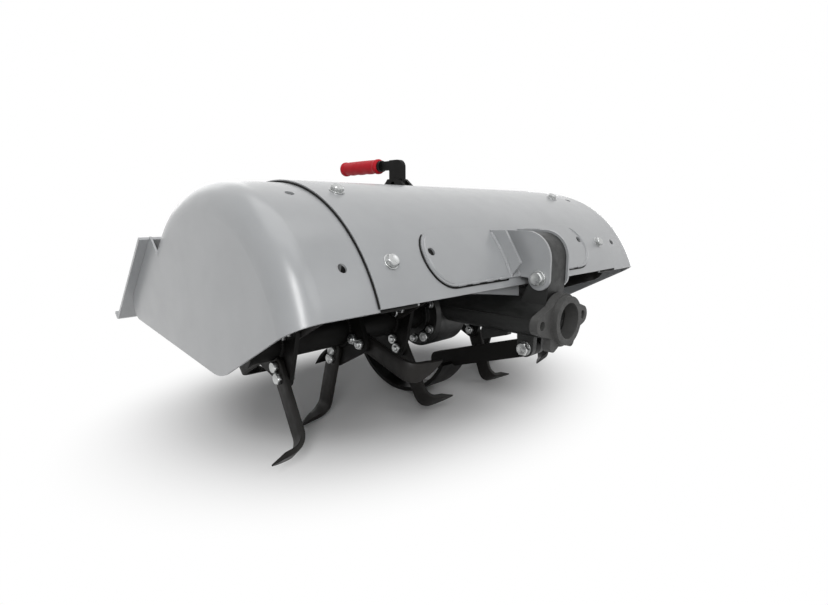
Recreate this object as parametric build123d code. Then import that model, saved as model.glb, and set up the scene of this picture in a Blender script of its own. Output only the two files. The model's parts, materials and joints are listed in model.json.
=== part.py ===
from build123d import *
import os
from math import asin, atan2, cos, degrees, hypot, radians, sin, sqrt, tan

# Rotary tiller attachment for a two-wheel tractor.
# Working frame: millimetres, origin on the rotor axle at mid-width, +X to the right-hand end,
# -Y forwards to the drive flange, +Y to the rear flap, +Z up.
# The finished pieces are moved so that the origin lies on the floor under the middle of the whole tiller.

# ---------------------------------------------------------------- driving dimensions
# rotor
TIP_RADIUS = 139.0          # rotor axle to the blades' outer face, at the foot's end
FLANGE_PLACES = (-272.0, -172.0, -88.0, 88.0, 172.0, 286.0)
FLANGE_THICK = 6.0
FLANGE_SIDE = 88.0          # square tine flange, across its flats
FLANGE_ROUND = 12.0
BLADE_THICK = 6.0
BLADE_WIDTH = 24.0          # width of the shank
BLADE_REACH = 48.0          # how far the foot reaches along the axle
BLADE_BEND = 18.0           # radius of the bend, to the middle of the bar
FOOT_RISE = 8.0             # degrees between the foot and the axle
FOOT_TAPER = 20.0           # length over which the foot thins to its end
FOOT_END = 1.5              # thickness left there
CLEARANCE_ANGLE = 15.0      # degrees, the foot's outer face falls away behind its leading edge
BLADE_ROOT = 24.0           # rotor axle to the blade's root end
SWEEP_START = 4.0           # where the swept edge leaves the shank
SWEEP_RUN = 0.6             # the swept edge's middle point, as shares of its length and the width
SWEEP_RISE = 0.24
BEVEL_ANGLE = 35.0          # degrees, the ground edge from square
BEVEL_LAND = 2.0            # depth of blade left square at the ground edge
SHAFT_RADIUS = 15.0
TUBE_RADIUS = 22.0
END_DISC_RADIUS = 24.0
END_DISC_WALL = 4.5
ROTOR_END = 318.0           # mid-width to the end of the rotor shaft
SHAFT_CHAMFER = 2.0
# the lowest blades stand these many degrees behind and ahead of the lowest point
REAR_STAND = 17.0
FRONT_STAND = 19.75
# angle of the first left-turned blade on each flange; right-turned ones stand 90 degrees on
BLADE_ANGLES = (-118.0, -90.0 + REAR_STAND, -31.0, -FRONT_STAND, REAR_STAND, -90.0 - FRONT_STAND)

# hood
HOOD_RADIUS = 190.0
HOOD_WALL = 3.0
CAP_WALL = 2.5
LAP_GAP = 0.3
HOOD_HALF = 260.0           # half-width of the middle hood
CAP_WIDTH = 95.0            # part of an end cap outside the middle hood
CAP_LAP = 55.0              # how far an end cap reaches under the middle hood
CAP_ROUND = 32.0            # rounding between a cap's skin and its end plate
FRONT_DROP = 61.5           # height of the hood's front edge over the axle
SLOPE = 44.5                # degrees, the straight rear slope below the horizontal
SLOPE_LENGTH = 18.0         # straight part of the hood's rear slope
KEEL_LINE_FALL = 28.0       # degrees, front lower edge of an end plate
KEEL_LINE_RISE = 6.4        # degrees, rear lower edge of an end plate
KEEL_Y = -30.0
KEEL_Z = -20.0
KEEL_ROUND = 60.0
TAIL_ROUND = 21.5
CAP_SCREW_ANGLES = (147.0, 112.4, 66.0)
CAP_SCREW_INSET = 31.0      # cap screws, in from the middle hood's edge
CAP_SPARE_OUT = 28.0        # spare holes for the narrow setting, out from that edge
SCREW_HOLE = 5.0
SLOT_SPARE = 8.0            # hood slot ahead of the stem
SLOT_SWING = 34.0           # hood slot behind the stem, for its swing

# drive neck and flange
PTO_Z = 19.5                # drive axis over the rotor axle
FACE_AHEAD = 40.0           # drive flange's mating face, ahead of the hood's skin
FLANGE_PLATE = 11.0
COLLAR_LENGTH = 8.0
BORE_RADIUS = 22.8          # bore through the flange and its collar
COLLAR_RADIUS = 31.0
FLANGE_HUB = 34.0
EAR_PITCH = 100.0
EAR_RADIUS = 12.0
EAR_HOLE = 5.5
LOBE_X = 22.0               # the two lower lobes of the flange
LOBE_Z = -30.0
LOBE_RADIUS = 8.0
NECK_RADIUS = 28.0
NECK_BORE = 21.5            # narrower bore behind the flange, round the coupling
NECK_RELIEF = 3.0           # turned recess at its mouth
TUNNEL_RADIUS = 18.0        # cored passage for the drive shaft
EYE_HALF = 20.0
EYE_SETBACK = 14.0
EYE_INSET = 3.0             # the cast strap stands this far inside the cheeks' outline
EYE_STRAP = 12.0            # thickness of the strap
KEEL_HALF = 4.5             # web under the neck, over the skid's bar
KEEL_GAP = 7.0
KEEL_REAR = (-24.0, -47.5)  # its lower rear corner
KEEL_TURN_Y = -64.0         # where its lower edge turns up along the bar
KEEL_FRONT_Y = -150.0
RIB_HALF = 5.0
LUG_GAP = 0.6
CASE_RADIUS = 50.0
CASE_HALF = 33.0
CASE_CHAMFER = 5.0
CASE_LAP = 8.0              # how deep the case sits in the neck's end
BOSS_RADIUS = 30.0
BOSS_LENGTH = 6.0
DOG_COUNT = 3
DOG_INSET = 4.0             # dogs' tips behind the flange
DOG_HEIGHT = 10.0
DOG_WIDTH = 14.0
DOG_INNER = 10.0
COUPLING_GAP = 0.7          # coupling in the neck's bore
COUPLING_DISC = 13.0
TAIL_RADIUS = 10.0
TAIL_LENGTH = 26.0
PLUG_Y = -22.0
PLUG_Z = -32.0
PLUG_HALF = 7.0

# saddle that hangs the hood on the neck
SADDLE_HALF = 24.0
SADDLE_WALL = 3.5
SADDLE_TOP = 130.0
SADDLE_ROUND = 35.0         # the cheeks' rounded front corner
SADDLE_BOLT_AHEAD = 16.5    # cross bolt ahead of the hood's skin
SADDLE_BOLT_Z = 72.0
SADDLE_BOLT_RADIUS = 6.0
SADDLE_EAR = 15.0           # radius of the cheeks' ears round the bolt
EYE_RADIUS = 12.0
GUSSET_X = 40.0
GUSSET_WALL = 4.0
GUSSET_RISE = 22.0          # height of a gusset over the hood
GUSSET_ANGLES = (158.0, 154.5, 142.0, 136.8)    # foot, lower corner, upper corner, top
PLATE_MARGIN = 80.0         # front strip's ends, in from the middle hood's edges
PLATE_WALL = 3.0
PLATE_LOW = 158.0           # degrees round the hood from the rear
PLATE_HIGH = 136.0
PLATE_SCREW_INSET = 13.0
PLATE_SCREW_ANGLE = 145.0
BOLT_FLAT = 9.5             # half the width across flats of the two large bolts
HEAD_HEIGHT = 8.0
NUT_HEIGHT = 10.0
FIT_GAP = 0.1               # round a pin in its hole
SEAT_GAP = 0.2              # between a curved seat and the skin it stands on

# rear flap
FLAP_SIDE = 11.0            # flap's edge outside the end plate
FLAP_LENGTH = 172.0
FLAP_WALL = 4.0
FLAP_START = 24.0           # from the hood's tangent point down the slope to the flap's top edge
FLAP_LIP = 14.0
FLAP_BEND = 6.0             # outside radius of the lip's bend
HINGE_RADIUS = 4.0
KNUCKLE_RADIUS = 7.5
FLAP_GAP = 0.4
HINGE_INSET = 10.0          # hinge rod's end, in from the middle hood's edge
HOOD_KNUCKLE_INSETS = (25.0, 95.0)
FLAP_KNUCKLE_INSET = 60.0
HOOD_KNUCKLE_HALF = 13.0
FLAP_KNUCKLE_HALF = 20.0
RAIL_WALL = 3.0
RAIL_DEPTH = 22.0

# depth skid with its stem and lever
PIVOT_Y = -184.0
PIVOT_Z = -23.0
PIVOT_RADIUS = 6.0
SKID_EYE = 12.0
SKID_BAR = 10.0             # thickness of the skid's bar
SKID_DEPTH = 26.0
LUG_WALL = 9.0              # from the bar's face to the outside of a lug
SHOE_HALF = 26.0
SHOE_WALL = 6.0
SHOE_RADIUS = 109.0
SHOE_Y = 45.0
SHOE_TOE = 207.0
SHOE_HEEL = 325.0
BAR_TURN = 10.0             # degrees along the shoe from its toe to the bar's end
STEM_FRONT = 57.0
STEM_WIDTH = 30.0
STEM_WALL = 8.0
STEM_TOP = 234.0
STEM_ROUND = 12.0
LEVER_WALL = 8.0
LEVER_DEPTH = 14.0
LEVER_Z = 226.0
GRIP_RADIUS = 12.5
GRIP_FROM = 113.0
GRIP_LENGTH = 94.0
GRIP_CAP = 10.0             # solid end of the grip beyond the arm's core
GRIP_CHAMFER = 3.0
GRIP_COLLAR = 9.0
COLLAR_WIDTH = 6.0
CORE_RADIUS = 6.0
HOLE_COUNT = 6
HOLES_BELOW = 3             # of them, below the guide's pin when the skid is up
HOLE_STEP = 2.5             # degrees between the stem's holes, about the skid's pivot
HOLE_DEPTH = 4.0            # first hole below the hood's top
STEM_HOLE = 4.2
PIN_RADIUS = 4.0
PIN_RISE = 6.0              # guide's pin hole over the hood
GUIDE_WALL = 5.0
GUIDE_GAP = 1.5
GUIDE_HALF = 30.0
GUIDE_TOP = 14.0
GUIDE_SHOULDER = 12.0
GUIDE_ARCH = 9.0            # radius of the opening between a cheek's two legs

# ---------------------------------------------------------------- places worked out from them
TANGENT = 90.0 - SLOPE
SLOPE_Y = sin(radians(TANGENT))
SLOPE_Z = -cos(radians(TANGENT))
CAP_RADIUS = HOOD_RADIUS - HOOD_WALL - LAP_GAP
CAP_END = HOOD_HALF + CAP_WIDTH
CAP_SCREW_X = HOOD_HALF - CAP_SCREW_INSET
CAP_SPARE_X = HOOD_HALF + CAP_SPARE_OUT
FRONT_ANGLE = 180.0 - degrees(asin(FRONT_DROP / HOOD_RADIUS))
PLATE_HALF = HOOD_HALF - PLATE_MARGIN
PLATE_SCREW_X = PLATE_HALF - PLATE_SCREW_INSET
PLATE_SKIN = HOOD_RADIUS + PLATE_WALL
FACE_Y = -HOOD_RADIUS - FACE_AHEAD
FLANGE_BACK = FACE_Y + FLANGE_PLATE
DOG_TIPS = FLANGE_BACK + DOG_INSET
COUPLING_END = DOG_TIPS + DOG_HEIGHT + COUPLING_DISC
TAIL_END = COUPLING_END + TAIL_LENGTH
SADDLE_BOLT_Y = -HOOD_RADIUS - SADDLE_BOLT_AHEAD
FLAP_HALF = CAP_END + FLAP_SIDE
FLAP_FOOT = FLAP_START + FLAP_LENGTH
STEM_BACK = STEM_FRONT + STEM_WIDTH


def polar(radius, angle):
    """Point of the side view (Y, Z) at an angle from +Y towards +Z."""
    return (radius * cos(radians(angle)), radius * sin(radians(angle)))


def slope_point(along, out):
    """Point of the side view: a distance down the rear slope, and a distance out from it."""
    y, z = polar(HOOD_RADIUS + out, TANGENT)
    return (y + along * SLOPE_Y, z + along * SLOPE_Z)


REACH_REAR = max(slope_point(FLAP_FOOT, FLAP_GAP + FLAP_WALL)[0],
                 slope_point(FLAP_FOOT, FLAP_GAP + FLAP_LIP)[0])
REACH_FRONT = -(FACE_Y - COLLAR_LENGTH)
AXLE_Y = (REACH_FRONT - REACH_REAR) / 2
HINGE = slope_point(FLAP_START - KNUCKLE_RADIUS - 1, FLAP_GAP + KNUCKLE_RADIUS)


def side_face(*edges):
    """Closed side-view outline made of lines and arcs, drawn in (Y, Z)."""
    return make_face(Plane.YZ * Curve(children=list(edges)))


def side_polygon(points):
    """Straight-sided outline drawn in (Y, Z)."""
    return Plane.YZ * make_face(Polyline(*points, close=True))


def slab(face, x_from, x_to):
    """Side-view face drawn out along X between two places."""
    return Pos(x_from, 0, 0) * extrude(face, x_to - x_from, dir=(1, 0, 0))


def rod(y, z, radius, x_from, x_to):
    """Round bar along X."""
    return Pos((x_from + x_to) / 2, y, z) * Rot(0, 90, 0) * Cylinder(radius, x_to - x_from)


def round_y(z, radius, y_from, y_to):
    """Round bar along Y at mid-width."""
    return Pos(0, (y_from + y_to) / 2, z) * Rot(90, 0, 0) * Cylinder(radius, y_to - y_from)


def radial_hole(x, angle, radius):
    """Cutter for a hole square to the hood's skin."""
    y, z = polar(HOOD_RADIUS, angle)
    return Pos(x, y, z) * Rot(angle - 90, 0, 0) * Cylinder(radius, 8 * HOOD_WALL)


def link(y1, z1, r1, y2, z2, r2, x_from, x_to):
    """Flat bar with two rounded ends, square to X."""
    length = hypot(y2 - y1, z2 - z1)
    lean = degrees(atan2(z2 - z1, y2 - y1))
    turn = degrees(asin((r1 - r2) / length))
    up1 = polar(r1, lean + 90 - turn)
    up2 = polar(r2, lean + 90 - turn)
    low1 = polar(r1, lean - 90 + turn)
    low2 = polar(r2, lean - 90 + turn)
    quad = side_polygon([(y1 + up1[0], z1 + up1[1]), (y2 + up2[0], z2 + up2[1]),
                         (y2 + low2[0], z2 + low2[1]), (y1 + low1[0], z1 + low1[1])])
    body = slab(quad, x_from, x_to)
    return body + rod(y1, z1, r1, x_from, x_to) + rod(y2, z2, r2, x_from, x_to)


def hood_band(outer, wall, front_angle, slope_length, x_from, x_to):
    """Bent sheet: an arc about the axle that runs out into the straight rear slope."""
    inner = outer - wall
    a1 = polar(outer, TANGENT)
    b1 = polar(inner, TANGENT)
    a2 = (a1[0] + slope_length * SLOPE_Y, a1[1] + slope_length * SLOPE_Z)
    b2 = (b1[0] + slope_length * SLOPE_Y, b1[1] + slope_length * SLOPE_Z)
    face = side_face(
        CenterArc((0, 0), outer, TANGENT, front_angle - TANGENT),
        Line(polar(outer, front_angle), polar(inner, front_angle)),
        CenterArc((0, 0), inner, TANGENT, front_angle - TANGENT),
        Line(b1, b2),
        Line(b2, a2),
        Line(a2, a1),
    )
    return slab(face, x_from, x_to)


# ---------------------------------------------------------------- hood
def hood_centre():
    """Middle hood: the bent sheet between the two end caps, slotted for the depth stem."""
    sheet = hood_band(HOOD_RADIUS, HOOD_WALL, FRONT_ANGLE, SLOPE_LENGTH, -HOOD_HALF, HOOD_HALF)
    for side in (-1, 1):
        for angle in CAP_SCREW_ANGLES:
            sheet -= radial_hole(side * CAP_SCREW_X, angle, SCREW_HOLE)
        sheet -= radial_hole(side * PLATE_SCREW_X, PLATE_SCREW_ANGLE, SCREW_HOLE)
    slot_from = STEM_FRONT - SLOT_SPARE
    slot_to = STEM_BACK + SLOT_SWING
    slot_width = STEM_WALL + 2 * GUIDE_GAP
    sheet -= Pos(0, (slot_from + slot_to) / 2, HOOD_RADIUS) * Box(slot_width, slot_to - slot_from, HOOD_RADIUS)
    return sheet


def cap_drum(radius, x_from, x_to, rounding):
    """Solid drum with the hood's side view, rounded at its outer end."""
    low = -radius / 2
    top = polar(radius, TANGENT)
    run = (top[1] - low) / -SLOPE_Z
    tail = (top[0] + run * SLOPE_Y, low)
    face = side_face(
        CenterArc((0, 0), radius, TANGENT, 180 - TANGENT),
        Line((-radius, 0), (-radius, low)),
        Line((-radius, low), tail),
        Line(tail, top),
    )
    drum = slab(face, x_from, x_to)
    rims = [e for e in drum.edges() if abs(e.center().X - x_to) < 0.01
            and e.center().Z > low + 1]
    return fillet(rims, rounding)


def end_plate_outline():
    """Side view of an end plate: keel line in front, flat keel behind, open above."""
    fall = tan(radians(KEEL_LINE_FALL))
    rise = tan(radians(KEEL_LINE_RISE))
    ahead = -1.2 * HOOD_RADIUS
    above = 1.4 * HOOD_RADIUS
    front = (ahead, KEEL_Z + fall * (KEEL_Y - ahead))
    y0, z0 = polar(HOOD_RADIUS, TANGENT)
    drop = tan(radians(SLOPE))
    tail_y = (z0 + drop * y0 - KEEL_Z + rise * KEEL_Y) / (rise + drop)
    tail = (tail_y, KEEL_Z + rise * (tail_y - KEEL_Y))
    top = slope_point(-HOOD_RADIUS / 3, 0)
    sketch = Polyline((KEEL_Y, KEEL_Z), tail, top, (top[0], above), (ahead, above), front, close=True)
    face = make_face(sketch)
    face = fillet(face.vertices().sort_by_distance((KEEL_Y, KEEL_Z, 0))[0], KEEL_ROUND)
    face = fillet(face.vertices().sort_by_distance((tail[0], tail[1], 0))[0], TAIL_ROUND)
    return Plane.YZ * face


def hood_end(side):
    """End cap: skin, rounded rim and end plate in one pressing; below the hood's edge only the plate."""
    inner_x = HOOD_HALF - CAP_LAP
    shell = cap_drum(CAP_RADIUS, inner_x, CAP_END, CAP_ROUND)
    hollow = cap_drum(CAP_RADIUS - CAP_WALL, inner_x - 1, CAP_END - CAP_WALL, CAP_ROUND - CAP_WALL)
    outline = end_plate_outline()
    square = 2 * HOOD_RADIUS
    behind = slab(side_polygon([slope_point(SLOPE_LENGTH, square), slope_point(SLOPE_LENGTH, -square),
                                slope_point(SLOPE_LENGTH + square, -square),
                                slope_point(SLOPE_LENGTH + square, square)]), inner_x - 1, CAP_END + 1)
    front_half = ((shell - hollow) & slab(outline, inner_x - 1, CAP_END + 1)) - behind
    rear_half = slab(outline, CAP_END - CAP_WALL, CAP_END) & behind
    cap = front_half + rear_half
    for angle in CAP_SCREW_ANGLES:
        cap -= radial_hole(CAP_SCREW_X, angle, SCREW_HOLE)
        cap -= radial_hole(CAP_SPARE_X, angle, SCREW_HOLE)
    if side < 0:
        cap = mirror(cap, about=Plane.YZ)
    return cap


def hood_front_plate():
    """Reinforcing strip with rounded ends, laid on the front of the middle hood."""
    face = side_face(
        CenterArc((0, 0), HOOD_RADIUS, PLATE_HIGH, PLATE_LOW - PLATE_HIGH),
        Line(polar(HOOD_RADIUS, PLATE_LOW), polar(PLATE_SKIN, PLATE_LOW)),
        CenterArc((0, 0), PLATE_SKIN, PLATE_HIGH, PLATE_LOW - PLATE_HIGH),
        Line(polar(PLATE_SKIN, PLATE_HIGH), polar(HOOD_RADIUS, PLATE_HIGH)),
    )
    strip = slab(face, -PLATE_HALF, PLATE_HALF)
    middle = (PLATE_LOW + PLATE_HIGH) / 2
    y, z = polar(HOOD_RADIUS, middle)
    half = HOOD_RADIUS * radians(PLATE_LOW - PLATE_HIGH) / 2
    window = Pos(0, y, z) * Rot(middle - 90, 0, 0) * extrude(
        RectangleRounded(2 * PLATE_HALF, 2 * half, half - 2), 6 * PLATE_WALL, both=True)
    strip &= window
    for side in (-1, 1):
        strip -= radial_hole(side * PLATE_SCREW_X, PLATE_SCREW_ANGLE, SCREW_HOLE)
    return strip


def saddle_outline(inset):
    """Side outline of the saddle above its bolt, with the rounded front corner, drawn in by inset."""
    front = SADDLE_BOLT_Y - SADDLE_EAR + inset
    top = SADDLE_TOP - inset
    round_off = SADDLE_ROUND - inset
    return side_face(
        Line((front, SADDLE_BOLT_Z), (front, top - round_off)),
        CenterArc((front + round_off, top - round_off), round_off, 180, -90),
        Line((front + round_off, top), (0, top)),
        Line((0, top), (0, SADDLE_BOLT_Z)),
        Line((0, SADDLE_BOLT_Z), (front, SADDLE_BOLT_Z)),
    )


def saddle():
    """Two upright cheeks that grip the neck's cast strap, standing on the hood's front strip."""
    inner = SADDLE_HALF - SADDLE_WALL
    cheek = slab(saddle_outline(0), inner, SADDLE_HALF)
    cheek += rod(SADDLE_BOLT_Y, SADDLE_BOLT_Z, SADDLE_EAR, inner, SADDLE_HALF)
    cheek -= rod(0, 0, PLATE_SKIN + SEAT_GAP, 0, 2 * SADDLE_HALF)
    cheek -= rod(SADDLE_BOLT_Y, SADDLE_BOLT_Z, SADDLE_BOLT_RADIUS + FIT_GAP, 0, 2 * SADDLE_HALF)
    return Compound(children=[mirror(cheek, about=Plane.YZ), cheek])


def saddle_gussets():
    """Two upright webs beside the saddle, standing on the hood's front strip."""
    foot, low, high, top = GUSSET_ANGLES
    outline = side_polygon([polar(HOOD_RADIUS, foot), polar(HOOD_RADIUS + GUSSET_RISE, low),
                            polar(HOOD_RADIUS + GUSSET_RISE, high), polar(HOOD_RADIUS, top)])
    webs = []
    for middle in (-GUSSET_X, GUSSET_X):
        web = slab(outline, middle - GUSSET_WALL / 2, middle + GUSSET_WALL / 2)
        webs.append(web - rod(0, 0, PLATE_SKIN + SEAT_GAP, middle - GUSSET_WALL, middle + GUSSET_WALL))
    return Compound(children=webs)


def cross_bolt(y, z, radius, left, right):
    """Bolt along X with a hexagon head outside the left face and a nut outside the right one."""
    bolt = rod(y, z, radius, left - 1, right + NUT_HEIGHT + 3)
    plane = Plane(origin=(left, y, z), x_dir=(0, 1, 0), z_dir=(-1, 0, 0))
    head = extrude(plane * RegularPolygon(BOLT_FLAT, 6, major_radius=False), HEAD_HEIGHT)
    nut = extrude(plane.offset(left - right) * RegularPolygon(BOLT_FLAT, 6, major_radius=False), -NUT_HEIGHT)
    return bolt + head + nut


def saddle_bolt():
    """Cross bolt through the saddle's ears and the neck's eye."""
    return cross_bolt(SADDLE_BOLT_Y, SADDLE_BOLT_Z, SADDLE_BOLT_RADIUS, -SADDLE_HALF, SADDLE_HALF)


# ---------------------------------------------------------------- neck, flange and gear case
def bar_line():
    """Ends of the middle line of the skid's bar, at the pivot and at the shoe."""
    return (PIVOT_Y, PIVOT_Z), shoe_point(SHOE_RADIUS - SKID_DEPTH, SHOE_TOE + BAR_TURN)


def keel():
    """Web under the barrel from the case forwards, its lower edge clear of the skid's bar."""
    (y1, z1), (y2, z2) = bar_line()
    slope = (z2 - z1) / (y2 - y1)
    lift = (SKID_DEPTH / 2 + KEEL_GAP) * hypot(1, slope)

    def over_bar(y):
        return (y, z1 + slope * (y - y1) + lift)

    return slab(side_polygon([over_bar(KEEL_FRONT_Y), over_bar(KEEL_TURN_Y), KEEL_REAR, (KEEL_REAR[0], 0),
                              (KEEL_FRONT_Y, PTO_Z)]), -KEEL_HALF, KEEL_HALF)


def neck_housing():
    """Cast neck: round barrel from the flange to the case, strap up into the saddle, keel and lugs below."""
    back = -CASE_RADIUS + CASE_LAP
    wide = 2 * NECK_RADIUS
    barrel = round_y(PTO_Z, NECK_RADIUS, FLANGE_BACK, back)
    eye = link(SADDLE_BOLT_Y, SADDLE_BOLT_Z, EYE_RADIUS, SADDLE_BOLT_Y + EYE_SETBACK, PTO_Z,
               NECK_BORE, -EYE_HALF, EYE_HALF)
    strap = slab(saddle_outline(EYE_INSET), -EYE_HALF, EYE_HALF)
    strap -= slab(saddle_outline(EYE_INSET + EYE_STRAP), -EYE_HALF, EYE_HALF)
    strap -= rod(0, 0, PLATE_SKIN + EYE_INSET, -EYE_HALF, EYE_HALF)
    rib = slab(side_polygon([(SADDLE_BOLT_Y, SADDLE_BOLT_Z - EYE_RADIUS), (SADDLE_BOLT_Y, PTO_Z),
                             (back - NECK_RADIUS / 2, PTO_Z), (back - NECK_RADIUS, PTO_Z + NECK_BORE)]),
               -RIB_HALF, RIB_HALF)
    inside = SKID_BAR / 2 + LUG_GAP
    lug = link(PIVOT_Y, PIVOT_Z, SKID_EYE, PIVOT_Y, PTO_Z - NECK_RADIUS / 2, SKID_EYE + 1, inside,
               SKID_BAR / 2 + LUG_WALL)
    behind_flange = Pos(0, FLANGE_BACK + wide, PTO_Z) * Box(2 * wide, 2 * wide, 4 * wide)
    body = barrel + ((eye + strap + rib + keel() + lug + mirror(lug, about=Plane.YZ)) & behind_flange)
    body -= rod(0, 0, CASE_RADIUS, -wide, wide)
    body -= rod(SADDLE_BOLT_Y, SADDLE_BOLT_Z, SADDLE_BOLT_RADIUS + FIT_GAP, -wide, wide)
    body -= rod(PIVOT_Y, PIVOT_Z, PIVOT_RADIUS + FIT_GAP, -wide, wide)
    body -= round_y(PTO_Z, BORE_RADIUS + 1, FLANGE_BACK - 1, FLANGE_BACK + NECK_RELIEF)
    body -= round_y(PTO_Z, NECK_BORE, FLANGE_BACK, COUPLING_END + COUPLING_GAP)
    body -= round_y(PTO_Z, TAIL_RADIUS + FIT_GAP, COUPLING_END, TAIL_END)
    body -= round_y(PTO_Z, TUNNEL_RADIUS, TAIL_END, back)
    body -= Pos(0, PIVOT_Y, PIVOT_Z - SKID_EYE) * Box(2 * inside, wide, 4 * SKID_EYE + 3)
    return body


def lobe(x, z, radius, root):
    """Flat ear drawn out from the flange's middle to a rounded end."""
    end = Pos(x, z) * Circle(radius)
    return make_hull(end.edges() + Circle(root).edges())


def pto_flange():
    """Drive flange with two drilled ears, two lower lobes and a raised collar round the bore."""
    ears = (-EAR_PITCH / 2, EAR_PITCH / 2)
    sketch = Circle(FLANGE_HUB)
    for x in ears:
        sketch += lobe(x, 0, EAR_RADIUS, COLLAR_RADIUS - 3)
    for x in (-LOBE_X, LOBE_X):
        sketch += lobe(x, LOBE_Z, LOBE_RADIUS, COLLAR_RADIUS - 6)
    plane = Plane(origin=(0, FACE_Y, PTO_Z), x_dir=(1, 0, 0), z_dir=(0, -1, 0))
    body = extrude(plane * sketch, -FLANGE_PLATE) + extrude(plane * Circle(COLLAR_RADIUS), COLLAR_LENGTH)
    body -= extrude(plane * Circle(BORE_RADIUS), FLANGE_PLATE + COLLAR_LENGTH, both=True)
    for x in ears:
        body -= extrude(plane * Pos(x, 0) * Circle(EAR_HOLE), FLANGE_PLATE + 1, both=True)
    return body


def gear_case():
    """Round case on the rotor's axle, with a bearing boss on each side."""
    case = rod(0, 0, CASE_RADIUS, -CASE_HALF, CASE_HALF)
    case = chamfer(case.edges().filter_by(GeomType.CIRCLE), CASE_CHAMFER)
    case += rod(0, 0, BOSS_RADIUS, -CASE_HALF - BOSS_LENGTH, CASE_HALF + BOSS_LENGTH)
    return case - rod(0, 0, SHAFT_RADIUS + FIT_GAP / 2, -2 * CASE_HALF, 2 * CASE_HALF)


def drain_plug():
    """Hexagon plug low on the case's left cheek."""
    plane = Plane(origin=(-CASE_HALF, PLUG_Y, PLUG_Z), x_dir=(0, 1, 0), z_dir=(-1, 0, 0))
    return extrude(plane * RegularPolygon(PLUG_HALF, 6, major_radius=False), BOSS_LENGTH)


def pto_coupling():
    """Coupling half with its dogs, on a tail shaft that runs in the neck."""
    radius = NECK_BORE - COUPLING_GAP
    root = DOG_TIPS + DOG_HEIGHT
    body = round_y(PTO_Z, radius, root, COUPLING_END) + round_y(PTO_Z, TAIL_RADIUS, root, TAIL_END)
    plane = Plane(origin=(0, root, PTO_Z), x_dir=(1, 0, 0), z_dir=(0, -1, 0))
    ring = Circle(radius) - Circle(DOG_INNER)
    for i in range(DOG_COUNT):
        sector = Rot(0, 0, 360 / DOG_COUNT * i) * Pos(radius / 2 + DOG_INNER / 2, 0) * Rectangle(radius, DOG_WIDTH)
        body += extrude(plane * (ring & sector), DOG_HEIGHT)
    return body


# ---------------------------------------------------------------- rotor
def rotor_shaft():
    """Through shaft of the rotor."""
    shaft = rod(0, 0, SHAFT_RADIUS, -ROTOR_END, ROTOR_END)
    return chamfer(shaft.edges().filter_by(GeomType.CIRCLE), SHAFT_CHAMFER)


def rotor_tubes():
    """Tube on each side, from the gear case out to the end disc, over the shaft."""
    start = CASE_HALF + BOSS_LENGTH + SEAT_GAP
    stop = ROTOR_END - SHAFT_CHAMFER - END_DISC_WALL
    tube = rod(0, 0, TUBE_RADIUS, start, stop) - rod(0, 0, SHAFT_RADIUS, start, stop)
    return Compound(children=[mirror(tube, about=Plane.YZ), tube])


def rotor_end_discs():
    """Disc at each end that holds the tube on its shaft."""
    stop = ROTOR_END - SHAFT_CHAMFER
    disc = rod(0, 0, END_DISC_RADIUS, stop - END_DISC_WALL, stop) - rod(0, 0, SHAFT_RADIUS, 0, ROTOR_END)
    return Compound(children=[mirror(disc, about=Plane.YZ), disc])


def tine_flanges(indices):
    """Square plates with rounded corners on the rotor tube, a blade on each corner."""
    square = RectangleRounded(FLANGE_SIDE, FLANGE_SIDE, FLANGE_ROUND) - Circle(TUBE_RADIUS)
    plate = extrude(Plane.YZ * square, FLANGE_THICK / 2, both=True)
    return Compound(children=[Pos(FLANGE_PLACES[i], 0, 0) * Rot(BLADE_ANGLES[i] + 45, 0, 0) * plate
                              for i in indices])


def blade_bar():
    """Bar bent from the shank (+Z) to the foot (+X), its outer face tilted by the clearance angle."""
    lean = radians(FOOT_RISE)
    turn = 90 - FOOT_RISE
    half = BLADE_THICK / 2
    foot = (BLADE_REACH - BLADE_BEND * (1 - cos(radians(turn))) - half * sin(lean)) / cos(lean)
    bend_z = TIP_RADIUS - half * cos(lean) - foot * sin(lean) - BLADE_BEND * sin(radians(turn))
    middle = (BLADE_BEND, bend_z)
    inner = BLADE_BEND - half
    outer = BLADE_BEND + half

    def foot_point(radius, along):
        across, rise = polar(radius, 180 - turn)
        return (middle[0] + across + along * cos(lean), middle[1] + rise + along * sin(lean))

    strip = make_face(Curve(children=[
        Line((half, 0), (half, bend_z)),
        CenterArc(middle, inner, 180, -turn),
        Line(foot_point(inner, 0), foot_point(inner, foot - FOOT_TAPER)),
        Line(foot_point(inner, foot - FOOT_TAPER), foot_point(outer - FOOT_END, foot)),
        Line(foot_point(outer - FOOT_END, foot), foot_point(outer, foot)),
        Line(foot_point(outer, foot), foot_point(outer, 0)),
        CenterArc(middle, outer, 180, -turn),
        Line((-half, bend_z), (-half, 0)),
        Line((-half, 0), (half, 0)),
    ]))
    bar = extrude(Plane.XZ * strip, BLADE_WIDTH, both=True)
    return Pos(0, 0, TIP_RADIUS) * Rot(-CLEARANCE_ANGLE, 0, 0) * Pos(0, 0, -TIP_RADIUS) * bar


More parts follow.
